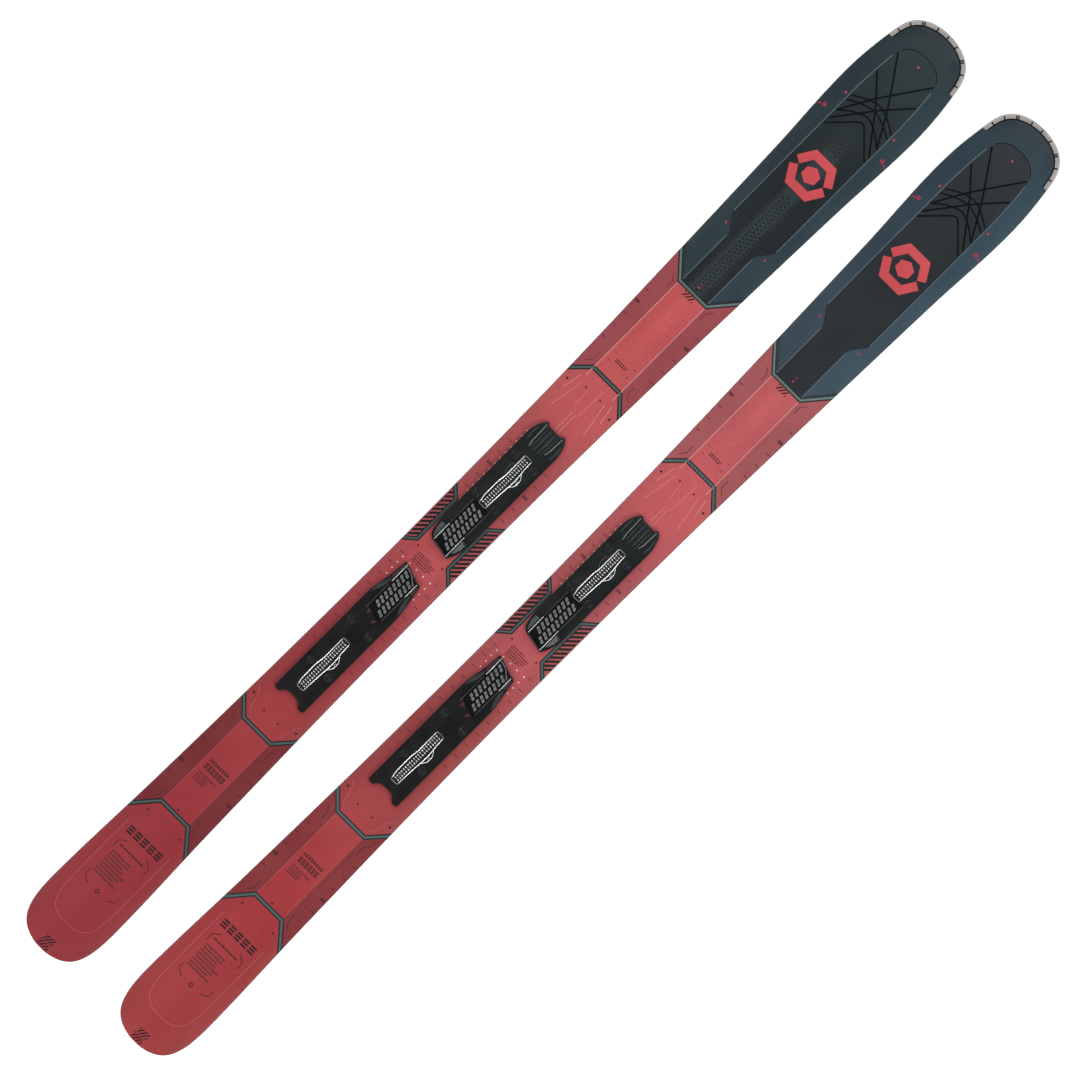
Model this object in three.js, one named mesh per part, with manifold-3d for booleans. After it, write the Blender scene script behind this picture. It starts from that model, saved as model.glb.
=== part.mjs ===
// A pair of alpine skis, each with a two-piece binding track.
//
// Millimetres, +Z up, +Y towards the tips, +X to the skier's right. The skis lie side by side on their
// soles; the origin is on the ground, midway between them and midway along them.
// Each ski is a sandwich: sole and steel edges, lower laminate, wood core between sidewalls, upper
// laminate and topsheet. All the layers share one row of cross-sections, so they stay parallel.

import * as THREE from 'three';
import { mergeVertices } from 'three/addons/utils/BufferGeometryUtils.js';
import Module from 'manifold-3d';

const wasm = await Module();
wasm.setup();

// ---- The ski's outline -------------------------------------------------------------------------
const SKI_LENGTH = 1815;
const SKI_SPACING = 187;
const HALF_LENGTH = SKI_LENGTH / 2;
const WIDTHS = [ // [y, full width]: the sidecut, from the tail over the waist to the shovel
  [-HALF_LENGTH, 110], [-825, 120.5], [-617, 109], [-370, 99.2], [-125, 96],
  [165, 101.5], [412, 114.8], [618, 128], [785, 140.2], [HALF_LENGTH, 111],
];
const TIP = { start: 849, length: HALF_LENGTH - 849, power: 3.6 };
const TAIL = { start: 766, length: HALF_LENGTH - 766, power: 8 };
const END_ROUNDNESS = 2;
const END_REACH = 0.998; // how far along the rounding curve the flat end is cut
const SHOVEL = 785; // the widest part of the ski

// ---- The ski seen from the side ----------------------------------------------------------------
const TIP_CONTACT = 590;
const TAIL_CONTACT = -670;
const FLAT_FRONT = 135; // the ski is flat between these two under the binding
const FLAT_REAR = -425;
const CAMBER = 3;
const TIP_RISE = 58;
const TAIL_RISE = 20;
const RISE_POWER = 2.4;
const THICK_MIDDLE = 14.5;
const THICK_TIP = 6;
const THICK_TAIL = 6.5;

// ---- The layers --------------------------------------------------------------------------------
const GAP = 0.2;
const SOLE = 1.9;
const LAMINATE = 0.6;
const TOPSHEET = 1;
const EDGE_WIDTH = 2.1;
const SIDEWALL_WIDTH = 6.6;
const CREASE = 25.4; // the top is level inside this half-width and falls away outside it
const CROWN_SHARE = 0.11; // fall at the sides, as a share of the thickness over CROWN_FROM
const CROWN_FROM = 5.2;
const EDGE_FRONT = 849; // the steel edges end here, and the tip guard takes over
const EDGE_REAR = -868;
const CORE_FRONT = 560; // core and sidewalls end here, against full-width spacers
const CORE_REAR = -620;
const BASE_JOINTS = [-425, 330]; // the sole is die-cut in three pieces
const BUTT_GAP = 0.3;
const GUARD_WIDTH = 7;
const GUARD_GAP = 1;
const GUARD_PROUD = 0.3;
const GUARD_STEPS = 8;

// ---- The binding track -------------------------------------------------------------------------
const DECK = CAMBER + THICK_MIDDLE; // height of the ski's flat top under the binding
const SEAT_GAP = 0.15;
const PLATE_HEIGHT = 5;
const PLATE_BEVEL = 1.2;
const FIT = 0.4; // clearance round a piece that lies in a pocket
const RACK_POCKET = 2.2;
const RACK_THICKNESS = 2.2;
const RACK_LENGTH = 93.5;
const RACK_SLOTS = 20;
const RACK_PITCH = 4.1;
const RACK_SLOT = { along: 2.3, across: 9.2 };
const PAD_POCKET = 1.6;
const PAD_HALF_WIDTH = 13.2;
const PAD_PROUD = 2.4;
const CHECK = { along: 5, across: 10.6, pitch: 8.1, lean: 4.6, height: 1.2, side: 6.2 };
const FRAME = { x: 14.6, width: 1.3, height: 3.4 }; // the steel band round a pad's free end
const SCREW = { headRadius: 3.9, headHeight: 1.9, shankRadius: 2.2, length: 16, holeRadius: 2.75 };
const SCREW_SIDES = 8;
const HOLE_SIDES = 8;
const COUNTERBORE = { radius: 4.4, depth: 2.3 };

const TOE_PLATE = { // half outlines are [x, y, corner radius], from the rear to the front
  half: [[17, -115.5, 2], [24.2, -103, 6], [28.6, -82, 10], [28.3, 60, 0], [28.8, 98, 10],
    [23.6, 114.5, 4], [17.3, 122.8, 1], [13.6, 122.8, 1], [12, 119.5, 0.6]],
  slant: { corner: 0, y: -109 }, // the left end corner, where the plate's end runs at a slant
  screws: { x: 17.7, rows: [-18.7, 58.1] },
  rackFrom: -26.5,
  pad: { rearLeft: -104, rearRight: -111, frontLeft: -28, frontRight: -28 },
  checks: { left: { first: -37, count: 8 }, right: { first: -37, count: 9 } },
  frame: { end: { left: -106.5, right: -113.5 }, legs: { left: -64, right: -79 } },
};
const HEEL_PLATE = {
  half: [[10.4, -404.2, 3], [17, -410.6, 1.6], [19.2, -413.6, 1.8], [28.4, -413.6, 5.5], [28.4, -300, 0],
    [28.6, -218, 14], [23, -189, 5], [19.6, -169.5, 2.5]],
  slant: { corner: 7, y: -157.5 },
  screws: { x: 17.7, rows: [-351.4, -270.9] },
  rackFrom: -389.6,
  pad: { rearLeft: -237, rearRight: -245, frontLeft: -161.5, frontRight: -173 },
  checks: { left: { first: -170.5, count: 8 }, right: { first: -179, count: 8 } },
  frame: { end: { left: -159, right: -170.5 }, legs: { left: -191, right: -195 } },
};

const finishes = {
  sole: { color: 0x17191b, roughness: 0.45, metalness: 0 },
  steel: { color: 0xc4c8ca, roughness: 0.3, metalness: 1 },
  laminate: { color: 0xaeb2b5, roughness: 0.4, metalness: 1 },
  wood: { color: 0xc9a26b, roughness: 0.7, metalness: 0 },
  sidewall: { color: 0x1c1e20, roughness: 0.5, metalness: 0 },
  topsheet: { color: 0xb24450, roughness: 0.45, metalness: 0 },
  guard: { color: 0xb9b0a6, roughness: 0.5, metalness: 0 },
  plate: { color: 0x1f2323, roughness: 0.6, metalness: 0 },
  pad: { color: 0x2a2c2c, roughness: 0.8, metalness: 0 },
  screw: { color: 0x2c2f30, roughness: 0.4, metalness: 1 },
};

// ---- Curves ------------------------------------------------------------------------------------

// A smooth curve through a few points [y, value].
function curveThrough(points) {
  const slopes = points.map((point, i) => {
    const before = points[Math.max(i - 1, 0)];
    const after = points[Math.min(i + 1, points.length - 1)];
    return (after[1] - before[1]) / (after[0] - before[0]);
  });
  return (y) => {
    let i = 0;
    while (i < points.length - 2 && y > points[i + 1][0]) i += 1;
    const [y0, v0] = points[i];
    const [y1, v1] = points[i + 1];
    const span = y1 - y0;
    const s = (y - y0) / span;
    const rise = s * s * (3 - 2 * s);
    const bend0 = s * (1 - s) * (1 - s) * span * slopes[i];
    const bend1 = s * s * (s - 1) * span * slopes[i + 1];
    return v0 * (1 - rise) + v1 * rise + bend0 + bend1;
  };
}

const fullWidth = curveThrough(WIDTHS);

// From a to b, level at both ends, as s goes from 0 to 1.
function ease(a, b, s) {
  const t = Math.min(Math.max(s, 0), 1);
  return a + (b - a) * t * t * (3 - 2 * t);
}

function roundedShare(reach, end) {
  if (reach <= 0) return 1;
  const cut = Math.min(reach, 1) * END_REACH;
  return (1 - cut ** end.power) ** (1 / END_ROUNDNESS);
}

// Half the ski's width at y. With an inset, the rounded tip is drawn that much smaller all round.
function outline(y, inset = 0) {
  const end = y > 0 ? TIP : TAIL;
  const reach = (Math.abs(y) - end.start) / (end.length - inset);
  return (fullWidth(y) / 2 - inset) * roundedShare(reach, end);
}

function soleHeight(y) {
  if (y > TIP_CONTACT) {
    return TIP_RISE * ((y - TIP_CONTACT) / (HALF_LENGTH - TIP_CONTACT)) ** RISE_POWER;
  }
  if (y < TAIL_CONTACT) {
    return TAIL_RISE * ((TAIL_CONTACT - y) / (HALF_LENGTH + TAIL_CONTACT)) ** RISE_POWER;
  }
  if (y > FLAT_FRONT) return ease(CAMBER, 0, (y - FLAT_FRONT) / (TIP_CONTACT - FLAT_FRONT));
  return ease(CAMBER, 0, (FLAT_REAR - y) / (FLAT_REAR - TAIL_CONTACT));
}

function thickness(y) {
  if (y > 0) return ease(THICK_MIDDLE, THICK_TIP, (y - FLAT_FRONT) / (HALF_LENGTH - FLAT_FRONT));
  return ease(THICK_MIDDLE, THICK_TAIL, (FLAT_REAR - y) / (FLAT_REAR + HALF_LENGTH));
}

// ---- Cross-sections ----------------------------------------------------------------------------

function steps(from, to, count) {
  return Array.from({ length: count }, (_, i) => from + ((to - from) * i) / count);
}

// Values of y from `from` to the end of the ski, closer together as the outline turns in.
function endSteps(end, from, inset, count) {
  const length = end.length - inset;
  const first = Math.asin((from - end.start) / length);
  return steps(first, Math.PI / 2, count).map((angle) => end.start + length * Math.sin(angle));
}

const LAYER_INSET = GUARD_WIDTH + GUARD_GAP;
const TIP_STEP = EDGE_FRONT + 1; // past the edges the layers step in, to make room for the guard
const TAIL_STEP = EDGE_REAR - 1;
const LAYER_FRONT = HALF_LENGTH - LAYER_INSET;

const STATIONS = [
  -HALF_LENGTH,
  ...endSteps(TAIL, -TAIL_STEP, 0, 7).map((y) => -y).reverse(),
  ...steps(EDGE_REAR, -TAIL.start, 4),
  ...steps(-TAIL.start, TAIL_CONTACT, 2),
  ...steps(TAIL_CONTACT, CORE_REAR, 1),
  ...steps(CORE_REAR, FLAT_REAR, 4),
  ...steps(FLAT_REAR, FLAT_FRONT, 7),
  ...steps(FLAT_FRONT, BASE_JOINTS[1], 3),
  ...steps(BASE_JOINTS[1], CORE_FRONT, 4),
  CORE_FRONT,
  ...steps(TIP_CONTACT, SHOVEL, 5),
  ...steps(SHOVEL, EDGE_FRONT, 3),
  EDGE_FRONT,
  ...endSteps(TIP, TIP_STEP, LAYER_INSET, GUARD_STEPS),
  LAYER_FRONT,
];

function stationsBetween(from, to) {
  return [from, ...STATIONS.filter((y) => y > from && y < to), to];
}

// Half the width of a layer that stays `side` inside the outline, and inside the guard at the tip.
function layerHalf(y, side) {
  return y < TIP_STEP ? outline(y) - side : outline(y, LAYER_INSET);
}

function creaseAt(y) {
  return Math.min(CREASE, layerHalf(y, 0) / 2);
}

// How far the top has fallen at (x, y), below its level middle.
function crownFall(x, y) {
  const crease = creaseAt(y);
  const fall = CROWN_SHARE * (thickness(y) - CROWN_FROM);
  return (fall * Math.max(Math.abs(x) - crease, 0)) / (outline(y) - crease);
}

// A point of a layer's face. Faces of the lower layers are level; those of the upper ones follow the crown.
function lowerPoint(x, y, height) {
  return [x, y, soleHeight(y) + height];
}

function upperPoint(x, y, depth) {
  return [x, y, soleHeight(y) + thickness(y) - depth - crownFall(x, y)];
}

// ---- Solids ------------------------------------------------------------------------------------

function geometryFrom(points, faces) {
  const geometry = new THREE.BufferGeometry();
  geometry.setAttribute('position', new THREE.Float32BufferAttribute(points.flat(), 3));
  geometry.setIndex(faces.flat());
  return geometry;
}

// A closed solid through a row of cross-sections. Each section has a bottom row and a top row of points,
// both from left to right as seen looking along the row of sections.
function loft(sections) {
  const points = [];
  const faces = [];
  const half = sections[0].bottom.length;
  const size = 2 * half;
  sections.forEach(({ bottom, top }) => points.push(...bottom, ...[...top].reverse()));
  for (let i = 0; i < sections.length - 1; i += 1) {
    for (let j = 0; j < size; j += 1) {
      const a = i * size + j;
      const b = i * size + ((j + 1) % size);
      faces.push([a, b + size, b], [a, a + size, b + size]);
    }
  }
  const last = (sections.length - 1) * size;
  for (let j = 0; j < half - 1; j += 1) {
    const [a, b, c, d] = [j, j + 1, size - 2 - j, size - 1 - j];
    faces.push([a, b, c], [a, c, d]);
    faces.push([last + a, last + c, last + b], [last + a, last + d, last + c]);
  }
  return geometryFrom(points, faces);
}

function solidOf(geometry) {
  const bare = new THREE.BufferGeometry();
  bare.setAttribute('position', geometry.getAttribute('position'));
  bare.setIndex(geometry.getIndex());
  const merged = mergeVertices(bare, 1e-4);
  return new wasm.Manifold(new wasm.Mesh({
    numProp: 3,
    vertProperties: merged.getAttribute('position').array,
    triVerts: new Uint32Array(merged.getIndex().array),
  }));
}

function geometryOf(solid) {
  const mesh = solid.getMesh();
  const geometry = new THREE.BufferGeometry();
  geometry.setAttribute('position', new THREE.Float32BufferAttribute(mesh.vertProperties, 3));
  geometry.setIndex(Array.from(mesh.triVerts));
  return geometry;
}

function cut(geometry, tools) {
  const result = tools.reduce((solid, tool) => solid.subtract(solidOf(tool)), solidOf(geometry));
  return geometryOf(result);
}

function joined(geometries) {
  const [first, ...others] = geometries.map(solidOf);
  return geometryOf(others.reduce((solid, other) => solid.add(other), first));
}

// A shape with the given corners, each [x, y, radius].
function roundedShape(corners) {
  const shape = new THREE.Shape();
  const point = ([x, y]) => new THREE.Vector2(x, y);
  corners.forEach((corner, i) => {
    const here = point(corner);
    const before = point(corners.at(i - 1));
    const after = point(corners[(i + 1) % corners.length]);
    const radius = corner[2] ?? 0;
    const from = here.clone().add(before.sub(here).setLength(radius));
    const to = here.clone().add(after.sub(here).setLength(radius));
    if (i === 0) shape.moveTo(from.x, from.y);
    else shape.lineTo(from.x, from.y);
    if (radius > 0) shape.quadraticCurveTo(here.x, here.y, to.x, to.y);
  });
  shape.closePath();
  return shape;
}

function prism(shape, bottom, top) {
  const geometry = new THREE.ExtrudeGeometry(shape, {
    depth: top - bottom, bevelEnabled: false, curveSegments: 3,
  });
  return geometry.translate(0, 0, bottom);
}

function bar(x0, x1, y0, y1, bottom, top) {
  const geometry = new THREE.BoxGeometry(x1 - x0, y1 - y0, top - bottom);
  return geometry.translate((x0 + x1) / 2, (y0 + y1) / 2, (bottom + top) / 2);
}

function post(x, y, radius, bottom, top, sides) {
  const geometry = new THREE.CylinderGeometry(radius, radius, top - bottom, sides);
  return geometry.rotateX(Math.PI / 2).translate(x, y, (bottom + top) / 2);
}

function named(name, geometry, finish) {
  geometry.computeVertexNormals();
  const mesh = new THREE.Mesh(geometry, new THREE.MeshStandardMaterial(finishes[finish]));
  mesh.name = name;
  return mesh;
}

// ---- The sandwich ------------------------------------------------------------------------------

function screwPlaces() {
  return [TOE_PLATE, HEEL_PLATE].flatMap(({ screws }) => screws.rows.flatMap((y) => [
    { x: -screws.x, y }, { x: screws.x, y },
  ]));
}

const SCREW_TOP = DECK + SEAT_GAP + PLATE_HEIGHT - COUNTERBORE.depth + GAP + SCREW.headHeight;
const SCREW_POINT = SCREW_TOP - SCREW.length;

function withScrewHoles(geometry) {
  const bottom = SCREW_POINT - 1;
  const tools = screwPlaces().map(({ x, y }) => post(x, y, SCREW.holeRadius, bottom, DECK + 1, HOLE_SIDES));
  return cut(geometry, tools);
}

function levelLayer([from, to], bottom, top, halfAt) {
  return loft(stationsBetween(from, to).map((y) => {
    const half = halfAt(y);
    return {
      bottom: [-half, half].map((x) => lowerPoint(x, y, bottom)),
      top: [-half, half].map((x) => lowerPoint(x, y, top)),
    };
  }));
}

// A layer whose top follows the crown. Its underside does too, unless it is given a level `bottom`.
function crownedLayer([from, to], { depth, under, bottom }, halfAt) {
  return loft(stationsBetween(from, to).map((y) => {
    const half = halfAt(y);
    const crease = creaseAt(y);
    const across = [-half, -crease, crease, half];
    return {
      bottom: across.map((x) => (bottom === undefined ? upperPoint(x, y, under) : lowerPoint(x, y, bottom))),
      top: across.map((x) => upperPoint(x, y, depth)),
    };
  }));
}

const CORE_BOTTOM = SOLE + LAMINATE + 2 * GAP;
const UPPER_LAMINATE_DEPTH = TOPSHEET + GAP;
const CORE_DEPTH = UPPER_LAMINATE_DEPTH + LAMINATE + GAP;

const WHOLE = [-HALF_LENGTH, LAYER_FRONT];
const BASE_SPANS = {
  rear: [-HALF_LENGTH, BASE_JOINTS[0] - BUTT_GAP],
  middle: [BASE_JOINTS[0], BASE_JOINTS[1] - BUTT_GAP],
  front: [BASE_JOINTS[1], LAYER_FRONT],
};

function runningBase(span) {
  const half = (y) => {
    if (y <= TAIL_STEP) return outline(y) - 0.3;
    return layerHalf(y, EDGE_WIDTH + 0.3);
  };
  return levelLayer(span, 0, SOLE, half);
}

function steelEdge(side) {
  return loft(stationsBetween(EDGE_REAR, EDGE_FRONT).map((y) => {
    const across = [outline(y) - EDGE_WIDTH, outline(y)].map((x) => side * x).sort((a, b) => a - b);
    return {
      bottom: across.map((x) => lowerPoint(x, y, 0)),
      top: across.map((x) => lowerPoint(x, y, SOLE)),
    };
  }));
}

function lowerLaminate() {
  return levelLayer(WHOLE, SOLE + GAP, SOLE + GAP + LAMINATE, (y) => layerHalf(y, 0.5));
}

const CORE_FACES = { depth: CORE_DEPTH, bottom: CORE_BOTTOM };

function woodCore() {
  const half = (y) => layerHalf(y, SIDEWALL_WIDTH + 0.9);
  return withScrewHoles(crownedLayer([CORE_REAR, CORE_FRONT], CORE_FACES, half));
}

function spacer(span) {
  return crownedLayer(span, CORE_FACES, (y) => layerHalf(y, 1.2));
}

function sidewall(side) {
  return loft(stationsBetween(CORE_REAR, CORE_FRONT).map((y) => {
    const inner = outline(y) - SIDEWALL_WIDTH - 0.5;
    const foot = [inner, outline(y) - 0.5].map((x) => side * x).sort((a, b) => a - b);
    const head = [inner, outline(y) - 1.8].map((x) => side * x).sort((a, b) => a - b);
    return {
      bottom: foot.map((x) => lowerPoint(x, y, CORE_BOTTOM)),
      top: head.map((x) => upperPoint(x, y, CORE_DEPTH)),
    };
  }));
}

function upperLaminate() {
  const faces = { depth: UPPER_LAMINATE_DEPTH, under: UPPER_LAMINATE_DEPTH + LAMINATE };
  return withScrewHoles(crownedLayer(WHOLE, faces, (y) => layerHalf(y, 1.8)));
}

function topsheet() {
  const faces = { depth: 0, under: TOPSHEET };
  return withScrewHoles(crownedLayer(WHOLE, faces, (y) => layerHalf(y, 1.5)));
}

// The rim round the tip, as a row of sections from the right side over the front to the left side.
function tipGuard() {
  const start = TIP_STEP + 0.4;
  const rows = [0, GUARD_WIDTH].map((inset) => {
    const along = [...endSteps(TIP, start, inset, GUARD_STEPS), HALF_LENGTH - inset];
    const right = along.map((y) => [outline(y, inset), y]);
    return [...right, ...right.map(([x, y]) => [-x, y]).reverse()];
  });
  const [outer, inner] = rows;
  return loft(outer.map(([x, y], i) => {
    const [xi, yi] = inner[i];
    return {
      bottom: [lowerPoint(xi, yi, 0), lowerPoint(x, y, 0)],
      top: [upperPoint(xi, yi, -GUARD_PROUD), upperPoint(x, y, 0)],
    };
  }));
}

// ---- The binding track -------------------------------------------------------------------------

const PLATE_TOP = DECK + SEAT_GAP + PLATE_HEIGHT;

// Both halves of a plate's outline: the left one is the right one mirrored, but for its slanted end.
function plateOutline({ half, slant }) {
  const left = half.map(([x, y, radius], i) => [-x, i === slant.corner ? slant.y : y, radius]);
  return [...half, ...left.reverse()];
}

function rackShape(rackFrom, grow) {
  const along = (y) => rackFrom + y;
  const end = RACK_LENGTH + grow;
  return roundedShape([
    [6.6 + grow, along(-grow), 1.5], [7.6 + grow, along(29), 0], [9.4 + grow, along(46), 0],
    [15 + grow, along(52), 1], [15 + grow, along(63), 1], [9.4 + grow, along(71), 0],
    [7.4 + grow, along(80), 0], [7.4 + grow, along(end), 1.5], [-6.8 - grow, along(end), 1.5],
    [-6.8 - grow, along(53), 0], [-8.7 - grow, along(42), 0], [-8.7 - grow, along(12), 0],
    [-6.6 - grow, along(-grow), 1.5],
  ]);
}

function rack({ rackFrom }) {
  const shape = rackShape(rackFrom, 0);
  const first = rackFrom + (RACK_LENGTH - (RACK_SLOTS - 1) * RACK_PITCH) / 2;
  for (let i = 0; i < RACK_SLOTS; i += 1) {
    const y = first + i * RACK_PITCH;
    const { along, across } = RACK_SLOT;
    shape.holes.push(roundedShape([
      [-across / 2, y - along / 2], [across / 2, y - along / 2],
      [across / 2, y + along / 2], [-across / 2, y + along / 2],
    ]));
  }
  const bottom = PLATE_TOP - RACK_POCKET + SEAT_GAP;
  return prism(shape, bottom, bottom + RACK_THICKNESS);
}

function padShape({ pad }, grow) {
  const half = PAD_HALF_WIDTH + grow;
  return roundedShape([
    [-half, pad.rearLeft - grow], [half, pad.rearRight - grow],
    [half, pad.frontRight + grow], [-half, pad.frontLeft + grow],
  ]);
}

// One raised bar of the pad's chequered top: it leans forward towards its outer end on the left.
function padCheck(x, y, bottom, top) {
  const { along, across, lean } = CHECK;
  return prism(roundedShape([
    [x - across / 2, y + lean / 2 - along / 2], [x + across / 2, y - lean / 2 - along / 2],
    [x + across / 2, y - lean / 2 + along / 2], [x - across / 2, y + lean / 2 + along / 2],
  ]), bottom, top);
}

function gripPad(plate) {
  const bottom = PLATE_TOP - PAD_POCKET + SEAT_GAP;
  const top = PLATE_TOP + PAD_PROUD;
  const row = (x, { first, count }) => Array.from({ length: count }, (_, i) => (
    padCheck(x, first - i * CHECK.pitch, top - 0.2, top + CHECK.height)
  ));
  return joined([
    prism(padShape(plate, 0), bottom, top),
    ...row(-CHECK.side, plate.checks.left),
    ...row(CHECK.side, plate.checks.right),
  ]);
}

// A thin band on edge: up one side of the pad, across its slanted free end and back down the other side.
function padFrame({ frame: { end, legs } }) {
  const [inner, outer] = [FRAME.x - FRAME.width / 2, FRAME.x + FRAME.width / 2];
  const away = Math.sign(end.left - legs.left) * FRAME.width;
  const band = roundedShape([
    [outer, legs.right], [outer, end.right + away, 1], [-outer, end.left + away, 1], [-outer, legs.left],
    [-inner, legs.left], [-inner, end.left], [inner, end.right], [inner, legs.right],
  ]);
  return prism(band, PLATE_TOP + SEAT_GAP, PLATE_TOP + FRAME.height);
}

function plateBody(plate) {
  const bottom = DECK + SEAT_GAP;
  const body = new THREE.ExtrudeGeometry(roundedShape(plateOutline(plate)), {
    depth: PLATE_HEIGHT, curveSegments: 4,
    bevelThickness: PLATE_BEVEL, bevelSize: PLATE_BEVEL, bevelOffset: -PLATE_BEVEL, bevelSegments: 1,
  });
  body.translate(0, 0, bottom - PLATE_BEVEL);
  return cut(body, [
    bar(-40, 40, -HALF_LENGTH, HALF_LENGTH, bottom - 10, bottom),
  ]);
}

function platePockets(plate) {
  const { screws, rackFrom } = plate;
  const holes = screws.rows.flatMap((y) => [-screws.x, screws.x].flatMap((x) => [
    post(x, y, COUNTERBORE.radius, PLATE_TOP - COUNTERBORE.depth, PLATE_TOP + 1, SCREW_SIDES),
    post(x, y, SCREW.holeRadius, DECK - 1, PLATE_TOP, HOLE_SIDES),
  ]));
  return [
    prism(rackShape(rackFrom, FIT), PLATE_TOP - RACK_POCKET, PLATE_TOP + 1),
    prism(padShape(plate, FIT), PLATE_TOP - PAD_POCKET, PLATE_TOP + 1),
    ...holes,
  ];
}

function toeTrack() {
  const ridges = [-14.5, -4, 4, 14.5].map((x) => {
    const thick = Math.abs(x) > 10;
    const width = thick ? 2.2 : 1;
    const height = thick ? 1.3 : 0.7;
    return bar(x - width / 2, x + width / 2, 82, 117, PLATE_TOP - 1, PLATE_TOP + height);
  });
  return joined([cut(plateBody(TOE_PLATE), platePockets(TOE_PLATE)), ...ridges]);
}

function heelTrack() {
  return cut(plateBody(HEEL_PLATE), platePockets(HEEL_PLATE));
}

function screw(x, y) {
  const { headRadius, headHeight, shankRadius, length } = SCREW;
  const neck = length - headHeight;
  const profile = [
    [0, 0], [shankRadius, 1.5], [shankRadius, neck], [headRadius, neck], [headRadius, length], [0, length],
  ];
  const points = profile.map(([r, z]) => new THREE.Vector2(r, z));
  const geometry = new THREE.LatheGeometry(points, SCREW_SIDES);
  return geometry.rotateX(Math.PI / 2).translate(x, y, SCREW_POINT);
}

function track(prefix, plate, body) {
  const group = new THREE.Group();
  const add = (name, geometry, finish) => group.add(named(`${prefix}_${name}`, geometry, finish));
  add('track', body, 'plate');
  add('rack', rack(plate), 'steel');
  add('grip_pad', gripPad(plate), 'pad');
  add('pad_frame', padFrame(plate), 'steel');
  plate.screws.rows.forEach((y, row) => {
    const place = row === 0 ? 'rear' : 'front';
    add(`screw_${place}_left`, screw(-plate.screws.x, y), 'screw');
    add(`screw_${place}_right`, screw(plate.screws.x, y), 'screw');
  });
  return group;
}

// ---- One ski -----------------------------------------------------------------------------------

function ski(prefix) {
  const group = new THREE.Group();
  const add = (name, geometry, finish) => group.add(named(`${prefix}_${name}`, geometry, finish));
  Object.entries(BASE_SPANS).forEach(([place, span]) => {
    add(`running_base_${place}`, runningBase(span), 'sole');
  });
  add('steel_edge_left', steelEdge(-1), 'steel');
  add('steel_edge_right', steelEdge(1), 'steel');
  add('lower_laminate', lowerLaminate(), 'laminate');
  add('wood_core', woodCore(), 'wood');
  add('tip_spacer', spacer([CORE_FRONT + BUTT_GAP, LAYER_FRONT]), 'sidewall');
  add('tail_spacer', spacer([-HALF_LENGTH, CORE_REAR - BUTT_GAP]), 'sidewall');
  add('sidewall_left', sidewall(-1), 'sidewall');
  add('sidewall_right', sidewall(1), 'sidewall');
  add('upper_laminate', upperLaminate(), 'laminate');
  add('topsheet', topsheet(), 'topsheet');
  add('tip_guard', tipGuard(), 'guard');
  group.add(track(`${prefix}_toe`, TOE_PLATE, toeTrack()));
  group.add(track(`${prefix}_heel`, HEEL_PLATE, heelTrack()));
  return group;
}

const leftSki = ski('left');
leftSki.position.x = -SKI_SPACING / 2;
const rightSki = ski('right');
rightSki.position.x = SKI_SPACING / 2;

const pair = new THREE.Group();
pair.add(leftSki, rightSki);

export default pair;
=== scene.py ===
"""The looks of a pair of alpine skis with binding tracks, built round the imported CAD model.

Shapes are worked out in millimetres in one ski's own coordinates: x to the skier's right from the ski's
centre line, y towards the tip from the ski's middle, z up from the ground. Both skis share every shape.
"""
import math
import random

import bpy
from mathutils import Matrix, Vector
from mathutils.geometry import tessellate_polygon


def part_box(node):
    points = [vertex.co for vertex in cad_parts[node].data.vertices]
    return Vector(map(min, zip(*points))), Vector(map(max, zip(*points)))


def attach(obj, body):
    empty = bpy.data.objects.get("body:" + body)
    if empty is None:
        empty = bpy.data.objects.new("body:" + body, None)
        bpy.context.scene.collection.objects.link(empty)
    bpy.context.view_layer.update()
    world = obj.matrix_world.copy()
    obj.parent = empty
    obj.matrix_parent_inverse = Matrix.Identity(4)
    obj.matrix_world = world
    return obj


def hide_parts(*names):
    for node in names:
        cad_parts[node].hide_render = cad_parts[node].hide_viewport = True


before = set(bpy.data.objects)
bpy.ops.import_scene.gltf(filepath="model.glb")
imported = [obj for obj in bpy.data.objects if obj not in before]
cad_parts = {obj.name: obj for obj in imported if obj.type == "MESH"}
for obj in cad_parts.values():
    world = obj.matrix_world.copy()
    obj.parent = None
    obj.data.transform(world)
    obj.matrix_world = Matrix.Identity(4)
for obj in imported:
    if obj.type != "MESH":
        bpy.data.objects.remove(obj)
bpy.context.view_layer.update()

MM = 0.001
SKIS = ("left", "right")


def low_corner(node):
    """The lowest corner of a CAD node, in millimetres."""
    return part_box(node)[0] / MM


# ---- The ski, from the CAD model's boxes and its driving dimensions -----------------------------

SKI_X = {side: sum(corner.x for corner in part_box(f"{side}_lower_laminate")) / 2 for side in SKIS}

HALF_LENGTH = -low_corner("left_running_base_rear").y
WIDTHS = [  # [y, full width], from the tail over the waist to the shovel
    (-HALF_LENGTH, 110), (-825, 120.5), (-617, 109), (-370, 99.2), (-125, 96),
    (165, 101.5), (412, 114.8), (618, 128), (785, 140.2), (HALF_LENGTH, 111),
]
TIP = {"start": 849, "length": HALF_LENGTH - 849, "power": 3.6}
TAIL = {"start": 766, "length": HALF_LENGTH - 766, "power": 8}
END_ROUNDNESS = 2
END_REACH = 0.998
TIP_CONTACT, TAIL_CONTACT = 590, -670
FLAT_FRONT, FLAT_REAR = 135, -425
CAMBER, TIP_RISE, TAIL_RISE, RISE_POWER = 3, 58, 20, 2.4
THICK_MIDDLE, THICK_TIP, THICK_TAIL = 14.5, 6, 6.5
GAP, SOLE, LAMINATE, TOPSHEET = 0.2, 1.9, 0.6, 1
EDGE_WIDTH, SIDEWALL_WIDTH, CREASE = 2.1, 6.6, 25.4
CROWN_SHARE, CROWN_FROM = 0.11, 5.2
EDGE_FRONT, EDGE_REAR = 849, -868
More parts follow.
